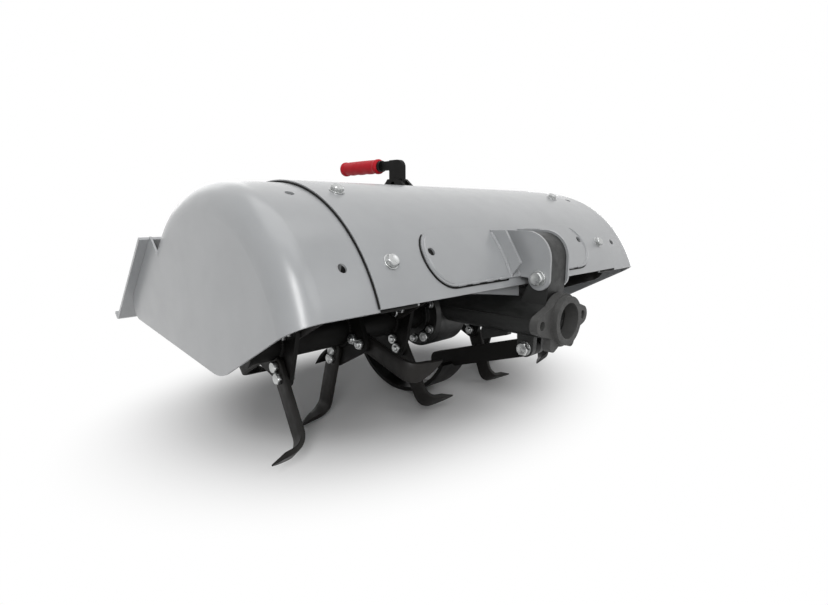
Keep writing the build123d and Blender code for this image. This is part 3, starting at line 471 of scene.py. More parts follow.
# ---------------------------------------------------------------- surfaces
@dataclass
class Shape:
    """Collects grids of points and makes one mesh piece of them.

    Attributes:
        points: Grids flattened to rows of x, y, z in millimetres from the axle.
        faces: Four corner numbers for each face.
        count: Points collected so far.
    """

    points: list[Array] = field(default_factory=list)
    faces: list[Array] = field(default_factory=list)
    count: int = 0

    def grid(self, surface: Array, wrap_rows: bool = False, wrap_columns: bool = True) -> None:
        """Adds a grid of points, each four neighbours making a face.

        Args:
            surface: Rows by columns by three coordinates.
            wrap_rows: Joins the last row to the first.
            wrap_columns: Joins the last column to the first.
        """
        rows, columns = surface.shape[:2]
        row, column = np.meshgrid(np.arange(rows - (not wrap_rows)),
                                  np.arange(columns - (not wrap_columns)), indexing="ij")
        row_on, column_on = (row + 1) % rows, (column + 1) % columns
        corners = [row * columns + column, row * columns + column_on, row_on * columns + column_on,
                   row_on * columns + column]
        self.faces.append(np.stack(corners, axis=-1).reshape(-1, 4) + self.count)
        self.points.append(surface.reshape(-1, 3))
        self.count += rows * columns

    def close(self, ring: Array) -> None:
        """Closes the end of a bar: its last ring is drawn in to its own middle.

        Args:
            ring: That ring, one row by columns by three coordinates.
        """
        middle = np.broadcast_to(ring.mean(axis=1, keepdims=True), ring.shape)
        self.grid(np.concatenate([ring, middle]))

    def turned(self, profile: Array, seat: Vector, axis: Vector, flat: float | None = None,
               steps: int = 24) -> None:
        """Adds a turned solid, or a hexagonal one.

        A point at angle t and profile point (r, h) lies at seat + h axis + R (cos t u + sin t v), where R
        is r, or for a hexagon the smaller of r and flat / cos(t's distance from the nearest flat's middle).

        Args:
            profile: Radius and height of each profile point, from the axis back to the axis.
            seat: Where the axis meets what the solid stands on.
            axis: Direction of the axis.
            flat: Half the width across the flats of a hexagon.
            steps: Points round the axis.
        """
        axis = unit(np.asarray(axis, float))
        helper = np.array([0.0, 0.0, 1.0]) if abs(axis[2]) < 0.9 else np.array([1.0, 0.0, 0.0])
        across = unit(np.cross(axis, helper))
        up = np.cross(axis, across)
        turn = np.linspace(0, 2 * pi, steps, endpoint=False)
        radius = np.repeat(profile[:, :1], steps, axis=1)
        if flat is not None:
            radius = np.minimum(radius, flat / np.cos(turn % (pi / 3) - pi / 6))
        ring = radius[..., None] * (np.cos(turn)[:, None] * across + np.sin(turn)[:, None] * up)
        self.grid(np.asarray(seat, float) + profile[:, 1:, None] * axis + ring)

    def bead(self, path: Array, across: Vector, radius: Array | float, closed: bool = False,
             steps: int = 8) -> None:
        """Adds a round bar along a path: path + r (cos t across + sin t (across x tangent)).

        Args:
            path: Points of the middle line.
            across: One direction square to the path, for all of it or for each point.
            radius: Radius r at each point.
            closed: Joins the path's end to its start.
            steps: Points round the bar.
        """
        tangent = np.roll(path, -1, 0) - np.roll(path, 1, 0) if closed else np.gradient(path, axis=0)
        across = np.broadcast_to(unit(np.asarray(across, float)), path.shape)
        other = unit(np.cross(across, tangent))
        turn = np.linspace(0, 2 * pi, steps, endpoint=False)[None, :, None]
        size = np.broadcast_to(radius, len(path))[:, None, None]
        ring = np.cos(turn) * across[:, None] + np.sin(turn) * other[:, None]
        self.grid(path[:, None] + size * ring, wrap_rows=closed)

    def weld(self, path: Array, across: Vector, radius: float, closed: bool = False) -> None:
        """Adds a weld bead: a bar whose radius swells as a sine of its length and dies away at open ends as
        the root of the distance from them.

        Args:
            path: Points of the middle line, about a millimetre apart.
            across: One direction square to the path.
            radius: Middle radius of the bead.
            closed: The bead runs round to its start.
        """
        length = np.arange(len(path)) * np.linalg.norm(path[1] - path[0])
        swell = 1 + RIPPLE_SWELL * np.sin(2 * pi * length / RIPPLE_PITCH)
        from_end = np.minimum(length, length[-1] - length)
        ends = 1.0 if closed else np.sqrt(np.clip(from_end / radius, 0, 1))
        self.bead(path, across, radius * swell * ends, closed)

    def plate(self, outer: Array, inner: Array) -> None:
        """Adds a sheet between two grids of the same size, closed along all its edges.

        Args:
            outer: Rows by columns of the outer face.
            inner: The same of the inner face.
        """
        self.grid(np.concatenate([outer, inner[:, ::-1]], axis=1))
        for end in (0, -1):
            self.grid(np.stack([outer[end], inner[end]]), wrap_columns=False)

    def finish(self, name: str, body: str, look: Look) -> bpy.types.Object:
        """Makes the mesh piece, welds coincident points, turns faces outwards and seats it on its body.

        Args:
            name: The piece's name.
            body: Body of the frame that it rides on.
            look: Its finish.

        Returns:
            The finished object.
        """
        mesh = bpy.data.meshes.new(name)
        places = np.concatenate(self.points) * MM + AXLE
        mesh.from_pydata(places.tolist(), [], np.concatenate(self.faces).tolist())
        work = bmesh.new()
        work.from_mesh(mesh)
        bmesh.ops.remove_doubles(work, verts=work.verts, dist=JOIN_MM * MM)
        bmesh.ops.recalc_face_normals(work, faces=work.faces)
        work.to_mesh(mesh)
        work.free()
        mesh.polygons.foreach_set("use_smooth", np.ones(len(mesh.polygons), bool))
        mesh.set_sharp_from_angle(angle=radians(SHARP_ANGLE))
        mesh.materials.append(look.material)
        made = add_object(name, mesh)
        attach(made, body)
        LOG.info("%s: %d faces on %s", name, len(mesh.polygons), body)
        return made


@dataclass(frozen=True)
class HexBolt:
    """Hexagon bolt or nut set with its washer.

    Attributes:
        flat: Half the width across the flats.
        head: Height of the head.
        shank: Radius of the thread.
        washer: Radius of the washer, 0 for none.
        washer_wall: Thickness of the washer.
        washer_edge: Bevel of its rim.
    """

    flat: float
    head: float
    shank: float
    washer: float = 0.0
    washer_wall: float = 1.6
    washer_edge: float = 0.25

    def under(self, shape: Shape, seat: Vector, axis: Vector) -> float:
        """Adds the washer and gives the height that the head stands on.

        Args:
            shape: Takes the washer.
            seat: Middle of the seat.
            axis: Direction away from the seat.

        Returns:
            Height of the washer's top over the seat.
        """
        if not self.washer:
            return 0.0
        rim, wall, edge = self.washer, self.washer_wall, self.washer_edge
        shape.turned(np.array([(0, 0), (rim - edge, 0), (rim, edge), (rim, wall - edge), (rim - edge, wall),
                               (0, wall)]), seat, axis)
        return wall

    def set_head(self, shape: Shape, seat: Vector, axis: Vector) -> None:
        """Adds washer and head: a hexagon whose top corners are turned off to a circle, slightly dished.

        Args:
            shape: Takes the solids.
            seat: Middle of the seat.
            axis: Direction away from the seat.
        """
        low = self.under(shape, seat, axis)
        high, corner = low + self.head, 1.16 * self.flat
        shape.turned(np.array([(0, low), (0.97 * self.flat, low), (corner, low + 0.5), (corner, high - 1.1),
                               (0.94 * self.flat, high), (0.7 * self.flat, high),
                               (0.55 * self.flat, high - 0.4), (0, high - 0.4)]), seat, axis, self.flat)

    def set_nut(self, shape: Shape, seat: Vector, axis: Vector) -> None:
        """Adds washer, nut and the thread's rounded end that stands out of it.

        Args:
            shape: Takes the solids.
            seat: Middle of the seat.
            axis: Direction away from the seat.
        """
        low = self.under(shape, seat, axis)
        high, corner = low + 1.1 * self.head, 1.16 * self.flat
        shape.turned(np.array([(0, low), (0.95 * self.flat, low), (corner, low + 0.9), (corner, high - 0.9),
                               (0.95 * self.flat, high), (1.04 * self.shank, high),
                               (self.shank, high - 0.5), (self.shank, high + 1.6),
                               (0.8 * self.shank, high + 2.4), (0, high + 2.4)]), seat, axis, self.flat)

    def set_across(self, shape: Shape, middle: Array, half: float) -> None:
        """Adds a whole bolt along X: its shank, the head on the left and the nut on the right.

        Args:
            shape: Takes the solids.
            middle: Middle of what the bolt holds.
            half: Half the thickness of that.
        """
        left, right = middle - (half, 0, 0), middle + (half, 0, 0)
        shape.turned(np.array([(0, 0), (self.shank, 0), (self.shank, 2 * half), (0, 2 * half)]), left,
                     (1, 0, 0))
        self.set_head(shape, left, (-1, 0, 0))
        self.set_nut(shape, right, (1, 0, 0))


@dataclass
class Dress:
    """Base of the sub-assemblies.

    Attributes:
        looks: The looks of the pieces, by kind of finish.
    """

    looks: Looks


# ---------------------------------------------------------------- hood
@dataclass
class HoodDress(Dress):
    """Cap screws of the hood, and dark beads along its seams; the one in the step over each cap is painted shadow.

    Attributes:
        screw_x: Cap screws from mid-width.
        screw_angles: Where they stand round the hood.
        seat: How far the heads' seats are let into the skin.
        sheet: From the hood's skin to the nuts, through both sheets of a lap.
        edge_angle: Front edge of the hood.
        slope_angle: Where the hood's straight rear slope starts.
        slope: Length of that slope.
        seam: Radius of the dark bead in the step over a cap, painted shadow of the middle hood's edge.
        seam_depth: Its middle line under the hood's skin.
        seam_gap: That line beside the middle hood's edge.
        seam_end: Degrees by which it stops short of the front edge.
        lap: How far a cap reaches in under the middle hood.
        lap_bead: Radius of the dark bead along the lap's front edge.
        lap_depth: Its middle line under the hood's skin.
        lap_angle: Degrees by which that line runs in front of the hood's edge.
        screw: Screws that hold the caps.
    """

    screw_x: float = 229.0
    screw_angles: tuple[float, ...] = (147.0, 112.4, 66.0)
    seat: float = 0.1
    sheet: float = 5.4
    edge_angle: float = 161.11
    slope_angle: float = 45.5
    slope: float = 17.0
    seam: float = 1.1
    seam_depth: float = 2.2
    seam_gap: float = 0.6
    seam_end: float = 0.3
    lap: float = 52.0
    lap_bead: float = 2.3
    lap_depth: float = 5.0
    lap_angle: float = 0.35
    screw: HexBolt = HexBolt(flat=6.5, head=5.3, shank=4.0, washer=8.8)

    def screws(self) -> None:
        """Sets the cap screws, heads outwards along the hood's radius."""
        shape = Shape()
        for side in (-1, 1):
            for angle in self.screw_angles:
                axis = round_axle(1.0, angle, 0.0)
                outer = round_axle(HOOD_RADIUS - self.seat, angle, side * self.screw_x)
                inner = round_axle(HOOD_RADIUS - self.sheet, angle, side * self.screw_x)
                self.screw.set_head(shape, outer, axis)
                self.screw.set_nut(shape, inner, -axis)
        shape.finish("cap_screws", "frame", self.looks[BrightZinc])

    def seams(self) -> None:
        """Lays a dark bead in the step where the middle hood laps over each cap, as painted shadow of that step,
        and a dark bead along the front edge of the lap underneath.

        Middle line in the step: an arc about the axle, then straight down the rear slope."""
        shape = Shape()
        arc = round_axle(HOOD_RADIUS - self.seam_depth,
                         np.linspace(self.edge_angle - self.seam_end, self.slope_angle, 120), 0.0)
        fall = unit(arc[-1] - arc[-2])
        path = np.concatenate([arc, arc[-1] + np.linspace(0.5, self.slope, 8)[:, None] * fall])
        for side in (-1, 1):
            # Dark bead in the step: painted shadow of the middle hood's edge over the cap.
            shape.bead(path + (side * (HOOD_HALF + self.seam_gap), 0, 0), (1.0, 0.0, 0.0), self.seam)
            lap = np.linspace(HOOD_HALF - 0.5, HOOD_HALF - self.lap, 40) * side
            edge = round_axle(HOOD_RADIUS - self.lap_depth, self.edge_angle + self.lap_angle, lap)
            shape.bead(edge, round_axle(1.0, self.edge_angle, 0.0), self.lap_bead)
        shape.finish("seam_shadow_and_lap_bead", "frame", self.looks[DippedBlack])

    def build(self) -> None:
        """Makes the hood's screws and seams."""
        self.screws()
        self.seams()


@dataclass
class StripDress(Dress):
    """Dark lines and discs of painted shade along the edge and in the holes, rolled lip and welds of the hood's
    front strip. Runs along its edge are measured from the middle of the lower edge.

    Attributes:
        half: Half the length of the strip.
        low: Lower edge of the strip, degrees round the hood.
        high: Upper edge.
        wall: Thickness of the strip.
        shade_run: Where the dark line of painted shade starts and ends along the edge.
        shade_radius: Radius of that dark line.
        shade_gap: Its middle line outside the edge.
        shade_lift: That line over the hood's skin.
        lip_run: Where the lip round an end starts and ends.
        lip: Height of that lip.
        lip_inset: Its middle line inside the edge.
        hole: Place of the hole near an end: from mid-width, and degrees round the hood.
        hole_shade: Radius of the dark disc of painted shade at the hole's bottom.
        weld_starts: Where the welds start.
        weld_length: Length of a weld.
        weld: Its radius.
        weld_inset: Its middle line inside the edge.
        weld_sink: That line under the strip's face.
    """

    half: float = 180.0
    low: float = 158.0
    high: float = 136.0
    wall: float = 3.0
    shade_run: Pair = (46.0, 236.0)
    shade_radius: float = 1.25
    shade_gap: float = 0.9
    shade_lift: float = 0.4
    lip_run: Pair = (150.0, 240.0)
    lip: float = 2.1
    lip_inset: float = 3.2
    hole: Pair = (167.0, 145.0)
    hole_shade: float = 4.9
    weld_starts: tuple[float, ...] = (50.0, 77.0, 104.0, 129.0)
    weld_length: float = 18.0
    weld: float = 1.9
    weld_inset: float = 1.4
    weld_sink: float = 0.4

    def outline(self, along: Array, inset: float, lift: float) -> Array:
        """Line along the strip's edge: a rounded oblong laid round the hood at the strip's middle angle.

        Args:
            along: Distance from the middle of the lower edge to the left, round the end and back on top.
            inset: How far inside the strip's edge the line runs.
            lift: Its height over the hood's skin.

        Returns:
            Points of the line.
        """
        half = HOOD_RADIUS * radians(self.low - self.high) / 2
        straight = self.half - half
        turn = np.clip((along - straight) / half, 0, pi)
        back = 2 * straight + pi * half - along
        run = np.where(along < straight, along, np.where(turn < pi, straight, back))
        reach = half - inset
        angle = (self.low + self.high) / 2 + np.degrees(np.arcsin(reach * np.cos(turn) / HOOD_RADIUS))
        return round_axle(HOOD_RADIUS + lift, angle, -(run + reach * np.sin(turn)))

    def line(self, side: int, run: Pair, inset: float, lift: float) -> tuple[Array, Array]:
        """Part of the edge, with a point for each millimetre.

        Args:
            side: 1 for the left end, -1 for the right end.
            run: Where the part starts and ends along the edge.
            inset: How far inside the strip's edge the line runs.
            lift: Its height over the hood's skin.

        Returns:
            Points of the line, and the direction away from the axle at each.
        """
        points = self.outline(np.arange(*run, 1.0), inset, lift) * (side, 1, 1)
        return points, unit(points * (0, 1, 1))

    def build(self) -> None:
        """Lays a dark line of painted shade along the strip's edge and a dark disc of painted shade in each hole,
        rolls a lip round its ends and welds its lower edge.
        """
        painted_shade, sheet = Shape(), Shape()
        # Radius and height of the dark disc of painted shade in a hole, domed by half a millimetre.
        hole_disc = np.array([(0, 0.1), (self.hole_shade, 0.1), (self.hole_shade, 0.5), (3.6, 0.9), (0, 1.0)])
        rise = np.sqrt(np.sin(np.linspace(0, pi, int(self.lip_run[1] - self.lip_run[0]))))
        x, angle = self.hole
        for side in (1, -1):
            # Dark line under the strip's edge and dark disc in the hole: painted shade, black paint that stands
            # for shadow.
            painted_shade.bead(*self.line(side, self.shade_run, -self.shade_gap, self.shade_lift), self.shade_radius, steps=6)
            painted_shade.turned(hole_disc, round_axle(HOOD_RADIUS, angle, side * x), round_axle(1.0, angle, 0.0))
            sheet.bead(*self.line(side, self.lip_run, self.lip_inset, self.wall), 0.1 + self.lip * rise)
            for start in self.weld_starts:
                run = (start, start + self.weld_length)
                sheet.weld(*self.line(side, run, self.weld_inset, self.wall - self.weld_sink), self.weld)
        painted_shade.finish("strip_painted_shade", "frame", self.looks[DippedBlack])
        sheet.finish("strip_lip_and_welds", "frame", self.looks[StovedEnamel])


@dataclass
class WebDress(Dress):
    """Two sheets inside the hood's front edge, beside the neck, that hang a little below it.

    Attributes:
        near: Inner end of a web from mid-width.
        width: Width of a web.
        high: Upper edge, degrees round the hood.
        low: Lower edge beside the neck.
        rise: Degrees by which the lower edge rises towards the outer end.
        depth: Upper edge under the hood's skin.
        lean: How much nearer to the axle the lower edge is.
        wall: Thickness of the sheet.
    """

    near: float = 15.0
    width: float = 92.0
    high: float = 155.0
    low: float = 165.2
    rise: float = 4.3
    depth: float = 3.3
    lean: float = 8.0
    wall: float = 2.7

    def build(self) -> None:
        """Makes both webs: nearly parts of a cylinder about the axle, whose radius falls evenly on the way
        down."""
        shape = Shape()
        across = np.linspace(0, 1, 20)[:, None]
        down = np.linspace(0, 1, 6)[None, :]
        angle = self.high + (self.low - self.rise * across ** 0.9 - self.high) * down
        radius = HOOD_RADIUS - (self.depth + self.lean * down)
        for side in (-1, 1):
            x = side * (self.near + self.width * across)
            shape.plate(round_axle(radius, angle, x), round_axle(radius - self.wall, angle, x))
        shape.finish("front_webs", "frame", self.looks[StovedEnamel])


# ---------------------------------------------------------------- saddle and drive
@dataclass
class SaddleDress(Dress):
    """Cross bolt and welds of the saddle.

    Attributes:
        half: Outer face of a cheek from mid-width.
        gusset: Outer face of a gusset from mid-width.
        weld_low: Height over the axle at which the welds start.
        weld_high: Height at which they end.
        weld_lift: Middle line of the welds over the hood's skin.
        weld_gap: That line beside the face of the sheet.
        weld: Radius of the welds.
        bolt: The cross bolt.
    """

    half: float = 24.0
    gusset: float = 42.0
    weld_low: float = 72.0
    weld_high: float = 128.0
    weld_lift: float = 3.4
    weld_gap: float = 0.6
    weld: float = 2.4
    bolt: HexBolt = HexBolt(flat=8.0, head=6.4, shank=5.0, washer=10.0, washer_wall=2.0)

    def cross_bolt(self) -> None:
        """Sets the head on the left cheek and the nut on the right one, in place of the plain bolt."""
        middle = node_box("saddle_bolt")[0] * (0, 1, 1)
        shape = Shape()
        self.bolt.set_across(shape, middle, self.half)
        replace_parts(shape.finish("saddle_cross_bolt", "frame", self.looks[BrightZinc]), "saddle_bolt")

    def welds(self) -> None:
        """Lays weld beads where cheeks and gussets stand on the strip: arcs about the axle, from the angle
        of one height to that of another."""
        shape = Shape()
        skin = HOOD_RADIUS + self.weld_lift
        first, last = (180 - degrees(asin(height / skin)) for height in (self.weld_low, self.weld_high))
        for x in (self.half, self.gusset):
            for side in (-1, 1):
                path = round_axle(skin, np.linspace(first, last, 70), side * (x + self.weld_gap))
                shape.weld(path, (1.0, 0.0, 0.0), self.weld)
        shape.finish("saddle_welds", "frame", self.looks[StovedEnamel])

    def build(self) -> None:
        """Makes the saddle's pieces."""
        self.cross_bolt()
        self.welds()


@dataclass
class DriveDress(Dress):
    """Screws, plugs and casting lines of the gear case and the neck.

    Attributes:
        cheek: Outer face of the case from mid-width.
        ring: Radius of the circle of case screws.
        ring_angles: Where the screws stand on it.
        lug: Outer face of a skid lug from mid-width.
        neck_radius: Radius of the neck's barrel.
        neck_z: Its axis over the axle.
        neck_run: Front and rear end of its parting line, along Y.
        line: Radius of that line's ridge.
        wander: How far the line strays up and down.
        wander_run: Distance along the neck for each radian of that stray.
        screw: Case screws.
        plug: Drain plug.
        pivot: The skid's bolt.
    """

    cheek: float = 33.0
    ring: float = 37.6
    ring_angles: tuple[float, ...] = (30.0, 90.0, 150.0, 210.0, 270.0, 330.0)
    lug: float = 14.0
    neck_radius: float = 28.0
    neck_z: float = 19.5
    neck_run: Pair = (-214.0, -50.0)
    line: float = 1.1
    wander: float = 0.25
    wander_run: float = 9.0
    screw: HexBolt = HexBolt(flat=5.0, head=4.6, shank=3.0, washer=6.4)
    plug: HexBolt = HexBolt(flat=7.0, head=5.5, shank=6.0)
    pivot: HexBolt = HexBolt(flat=8.0, head=6.4, shank=6.0, washer=9.6, washer_wall=2.0)

    def case_screws(self) -> None:
        """Sets six screws round each cheek of the case."""
        shape = Shape()
        for side in (-1, 1):
            for angle in self.ring_angles:
                self.screw.set_head(shape, round_axle(self.ring, angle, side * self.cheek), (side, 0, 0))
        shape.finish("case_screws", "frame", self.looks[BrightZinc])

    def drain(self) -> None:
        """Sets the chamfered plug on the case's left cheek, in place of the plain one."""
        middle = node_box("drain_plug")[0]
        shape = Shape()
        self.plug.set_head(shape, np.array([-self.cheek, middle[1], middle[2]]), (-1, 0, 0))
        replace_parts(shape.finish("case_drain_plug", "frame", self.looks[BrightZinc]), "drain_plug")

    def skid_pivot(self) -> None:
        """Sets the skid's cross bolt with washers outside the lugs, in place of the plain one."""
        shape = Shape()
        self.pivot.set_across(shape, (joint_place("skid_pivot") - AXLE) / MM, self.lug)
        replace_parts(shape.finish("skid_pivot_bolt", "frame", self.looks[BrightZinc]), "skid_bolt")

    def casting_lines(self) -> None:
        """Fettled parting line along both sides of the barrel: a low half-round ridge that strays as a sine
        and thins towards its ends."""
        shape = Shape()
        y = np.linspace(*self.neck_run, 60)
        z = self.neck_z + self.wander * np.sin(y / self.wander_run)
        radius = self.line * np.sqrt(np.sin(np.linspace(0, pi, len(y))))
        for side in (-1, 1):
            path = np.stack([np.full_like(y, side * self.neck_radius), y, z], axis=-1)
            shape.bead(path, (0.0, 0.0, 1.0), radius)
        shape.finish("neck_parting_line", "frame", self.looks[PaintedCasting])

    def build(self) -> None:
        """Makes the drive's pieces."""
        self.case_screws()
        self.drain()
        self.skid_pivot()
        self.casting_lines()


# ---------------------------------------------------------------- rotor
# A blade's section, leading edge first: share of the way across it, and share of half its thickness.
SECTION = ((0.05, -1), (0.35, -1), (0.65, -1), (0.95, -1), (1.0, -0.72), (1.0, 0.72), (0.95, 1), (0.65, 1),
           (0.35, 1), (0.05, 1), (0.0, 0.72), (0.0, -0.72))


@dataclass
class RotorDress(Dress):
    """Forged blades with their bolts, and the welds of the tine flanges.

    Attributes:
        places: Tine flanges from mid-width.
        angles: Angle of the first left-turned blade on each flange, degrees up from the rear.
        flange_wall: Thickness of a flange.
        thick: Thickness of a blade.
        width: Width of its shank.
        reach: How far the foot reaches along the axle.
        bend: Radius of the bend, to the middle of the bar.
        rise: Degrees between the foot and the axle.
        tip: Axle to the foot's outer face at its end.
        tilt: Degrees by which the foot's outer face falls away behind its leading edge.
        root: Axle to the blade's root end.
        thin_from: Share of the foot at which it starts to thin.
        end_wall: Thickness at the foot's end.
        grind: Width of the ground face at the leading edge.
        sweep: Where along the axle the swept edge leaves the shank.
        even_sweep: Share of the sweep that grows evenly with the reach.
        sweep_power: Power of the reach with which the rest grows.
        tube: Radius of the rotor tube.
        weld: Radius of the welds on it.
        weld_gap: Their middle line off tube and flange.
        bolt_radii: Axle to the two bolts of a blade.
        bolt: Those bolts.
    """

    places: tuple[float, ...] = (-272.0, -172.0, -88.0, 88.0, 172.0, 286.0)
    angles: tuple[float, ...] = (-118.0, -73.0, -31.0, -19.75, 17.0, -109.75)
    flange_wall: float = 6.0
    thick: float = 6.0
    width: float = 24.0
    reach: float = 48.0
    bend: float = 18.0
    rise: float = 8.0
    tip: float = 139.0
    tilt: float = 15.0
    root: float = 24.0
    thin_from: float = 0.38
    end_wall: float = 1.5
    grind: float = 3.2
    sweep: float = 4.0
    even_sweep: float = 0.4
    sweep_power: float = 2.6
    tube: float = 22.0
    weld: float = 2.6
    weld_gap: float = 0.3
    bolt_radii: Pair = (30.5, 44.5)
    bolt: HexBolt = HexBolt(flat=6.5, head=5.3, shank=4.0)

    def bar(self, run: Array, depth: Array) -> tuple[Array, Array]:
        """Side view of the bent bar: straight shank, an arc, and the straight foot.

        Args:
            run: Place along the middle line from the shank's bottom, one unit for each of the three.
            depth: Offset from the middle line, towards the axle and the flange's far side.

        Returns:
            The x and z of each point.
        """
        lean, turn, half = radians(self.rise), radians(90 - self.rise), self.thick / 2
        foot = (self.reach - self.bend * (1 - cos(turn)) - half * sin(lean)) / cos(lean)
        bend_z = self.tip - half * cos(lean) - foot * sin(lean) - self.bend * sin(turn)
        shank = np.clip(run, 0, 1)
        swing = np.clip(run - 1, 0, 1) * turn
        along = np.clip(run - 2, 0, 1) * foot
        radius = self.bend - depth
        x = self.bend - radius * np.cos(swing) + along * cos(lean)
        z = self.root + shank * (bend_z - self.root) + radius * np.sin(swing) + along * sin(lean)
        return x, z

    def leading(self, x: Array) -> Array:
        """Leading edge of the blade seen along its length: square at the shank, then an arc to a point,
        which is even_sweep of the width in step with the reach and the rest by a power of it.

        Args:
            x: Reach along the axle.

        Returns:
            The y of the leading edge, from minus half the width to plus half.
        """
        share = np.clip((x - self.sweep) / (self.reach - self.sweep), 0, 1)
        curl = (1 - self.even_sweep) * share ** self.sweep_power
        return self.width * (self.even_sweep * share + curl) - self.width / 2

    def blade(self) -> Array:
        """One blade on a flange's right face, shank up, foot towards +X.

        A section with rounded corners is carried along the bar, narrowed to a half circle at the root. Each
        point's place across the blade is given after the bar is tilted about X at the foot, which solves
        for its place in the untilted bar.

        Returns:
            Sections by points round each section by three coordinates.
        """
        # Sections stand close together at the root's round end, in the bend and along the foot.
        run = np.concatenate([np.linspace(0, 0.12, 6), np.linspace(0.16, 0.97, 9),
                              np.linspace(1.0, 2.0, 14), np.linspace(2.08, 3.0, 14)])[:, None]
        side, face = np.array(SECTION).T[:, None]
        half, back = self.thick / 2, self.width / 2
        foot = np.clip(run - 2, 0, 1)
        thin = np.clip((foot - self.thin_from) / (1 - self.thin_from), 0, 1) * (self.thick - self.end_wall)
        depth = np.where(face > 0, face * half - thin * (face + 1) / 2, face * half)
        x, z = self.bar(run, depth)
        ground = np.clip(run - 1.5, 0, 1) * self.grind * (face > 0.5) * (side < 0.5)
        root = np.sqrt(np.clip(1 - (1 - np.clip((z - self.root) / back, 0, 1)) ** 2, 0, 1))
        across = np.clip((self.leading(x) + ground) * (1 - side) + back * side, -back, back) * root
        tilt = radians(-self.tilt)
        level = z - self.tip
        bar_y = (across + level * sin(tilt)) / cos(tilt)
        height = self.tip + bar_y * sin(tilt) + level * cos(tilt)
        height = np.where(run < 1, np.minimum(height, z), height)
        return np.stack([x, across, height], axis=-1)

    def set_out(self, flange: int) -> list[tuple[float, float, int]]:
        """Sets out the four blades of one flange.

        Args:
            flange: Number of the flange, from 0.

        Returns:
            For each blade its angle, the place of the flange and the side it turns to: -1 left, 1 right.
        """
        return [(self.angles[flange] + 90 * corner, self.places[flange], side)
                for corner, side in enumerate((-1, 1, -1, 1))]

    def turned_to(self, points: Array, angle: float, place: float, side: int) -> Array:
        """Carries points of the upright right-turned pattern to a blade's place.

        Args:
            points: Points with x from the flange's middle, and z up the shank.
            angle: Angle of the shank, degrees up from the rear.
            place: The flange's x.
            side: 1 for a right-turned blade, -1 for a left-turned one.

        Returns:
            The points turned about the axle by angle - 90 degrees.
        """
        turn = radians(angle - 90)
        x, y, z = np.moveaxis(points, -1, 0)
        return np.stack([side * x + place, y * cos(turn) - z * sin(turn), y * sin(turn) + z * cos(turn)],
                        axis=-1)

    def blades(self) -> None:
        """Makes the four blades of each flange as one piece, in place of the plain ones."""
        pattern = self.blade() + ((self.flange_wall + self.thick) / 2, 0, 0)
        for flange in range(len(self.places)):
            shape = Shape()
            for angle, place, side in self.set_out(flange):
                blade = self.turned_to(pattern, angle, place, side)
                shape.grid(blade)
                shape.close(blade[-1:])
            made = shape.finish(f"forged_blades_{flange + 1}", "rotor", self.looks[ForgedBlade])
            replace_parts(made, f"blades_{flange + 1}")

    def bolts(self) -> None:
        """Bolts each blade twice: heads on the blade, nuts on the flange's other face."""
        shape = Shape()
        for flange in range(len(self.places)):
            for angle, place, side in self.set_out(flange):
                for radius in self.bolt_radii:
                    outer = round_axle(radius, angle, place + side * (self.flange_wall / 2 + self.thick))
                    inner = round_axle(radius, angle, place - side * self.flange_wall / 2)
                    self.bolt.set_head(shape, outer, (side, 0, 0))
                    self.bolt.set_nut(shape, inner, (-side, 0, 0))
        shape.finish("blade_bolts", "rotor", self.looks[BrightZinc])

    def welds(self) -> None:
        """Weld rings where each flange meets the rotor tube, circles about the axle."""
        shape = Shape()
        for place in self.places:
            for side in (-1, 1):
                ring = round_axle(self.tube + self.weld_gap, np.linspace(0, 360, 132, endpoint=False),
                                  place + side * (self.flange_wall / 2 + self.weld_gap))
                shape.weld(ring, (1.0, 0.0, 0.0), self.weld, closed=True)
        shape.finish("flange_welds", "rotor", self.looks[DippedBlack])

    def build(self) -> None:
        """Makes the rotor's pieces."""
        self.blades()
        self.bolts()
        self.welds()


# ---------------------------------------------------------------- flap and skid
@dataclass
class FlapDress(Dress):
    """Caps on the hinge rod's ends.

    Attributes:
        radius: Radius of a cap.
        depth: How far its dome stands out.
        skirt: Length of the straight part behind the dome.
        hold: How far the dome starts back from the rod's end.
    """

    radius: float = 6.8
    depth: float = 4.2
    skirt: float = 0.4
    hold: float = 1.2

    def build(self) -> None:
        """Domes of pressed steel pushed on the rod's ends: radius r cos a at height h sin a."""
        middle, half = node_box("hinge_rod")
        arc = np.linspace(0, pi / 2, 8)
        dome = np.stack([self.radius * np.cos(arc), self.depth * np.sin(arc)], axis=-1)
        profile = np.concatenate([[(0, -self.skirt), (self.radius, -self.skirt)], dome])
        shape = Shape()
        for side in (-1, 1):
            shape.turned(profile, middle + (side * (half[0] - self.hold), 0, 0), (side, 0, 0))
        shape.finish("hinge_rod_caps", "frame", self.looks[BrightZinc])


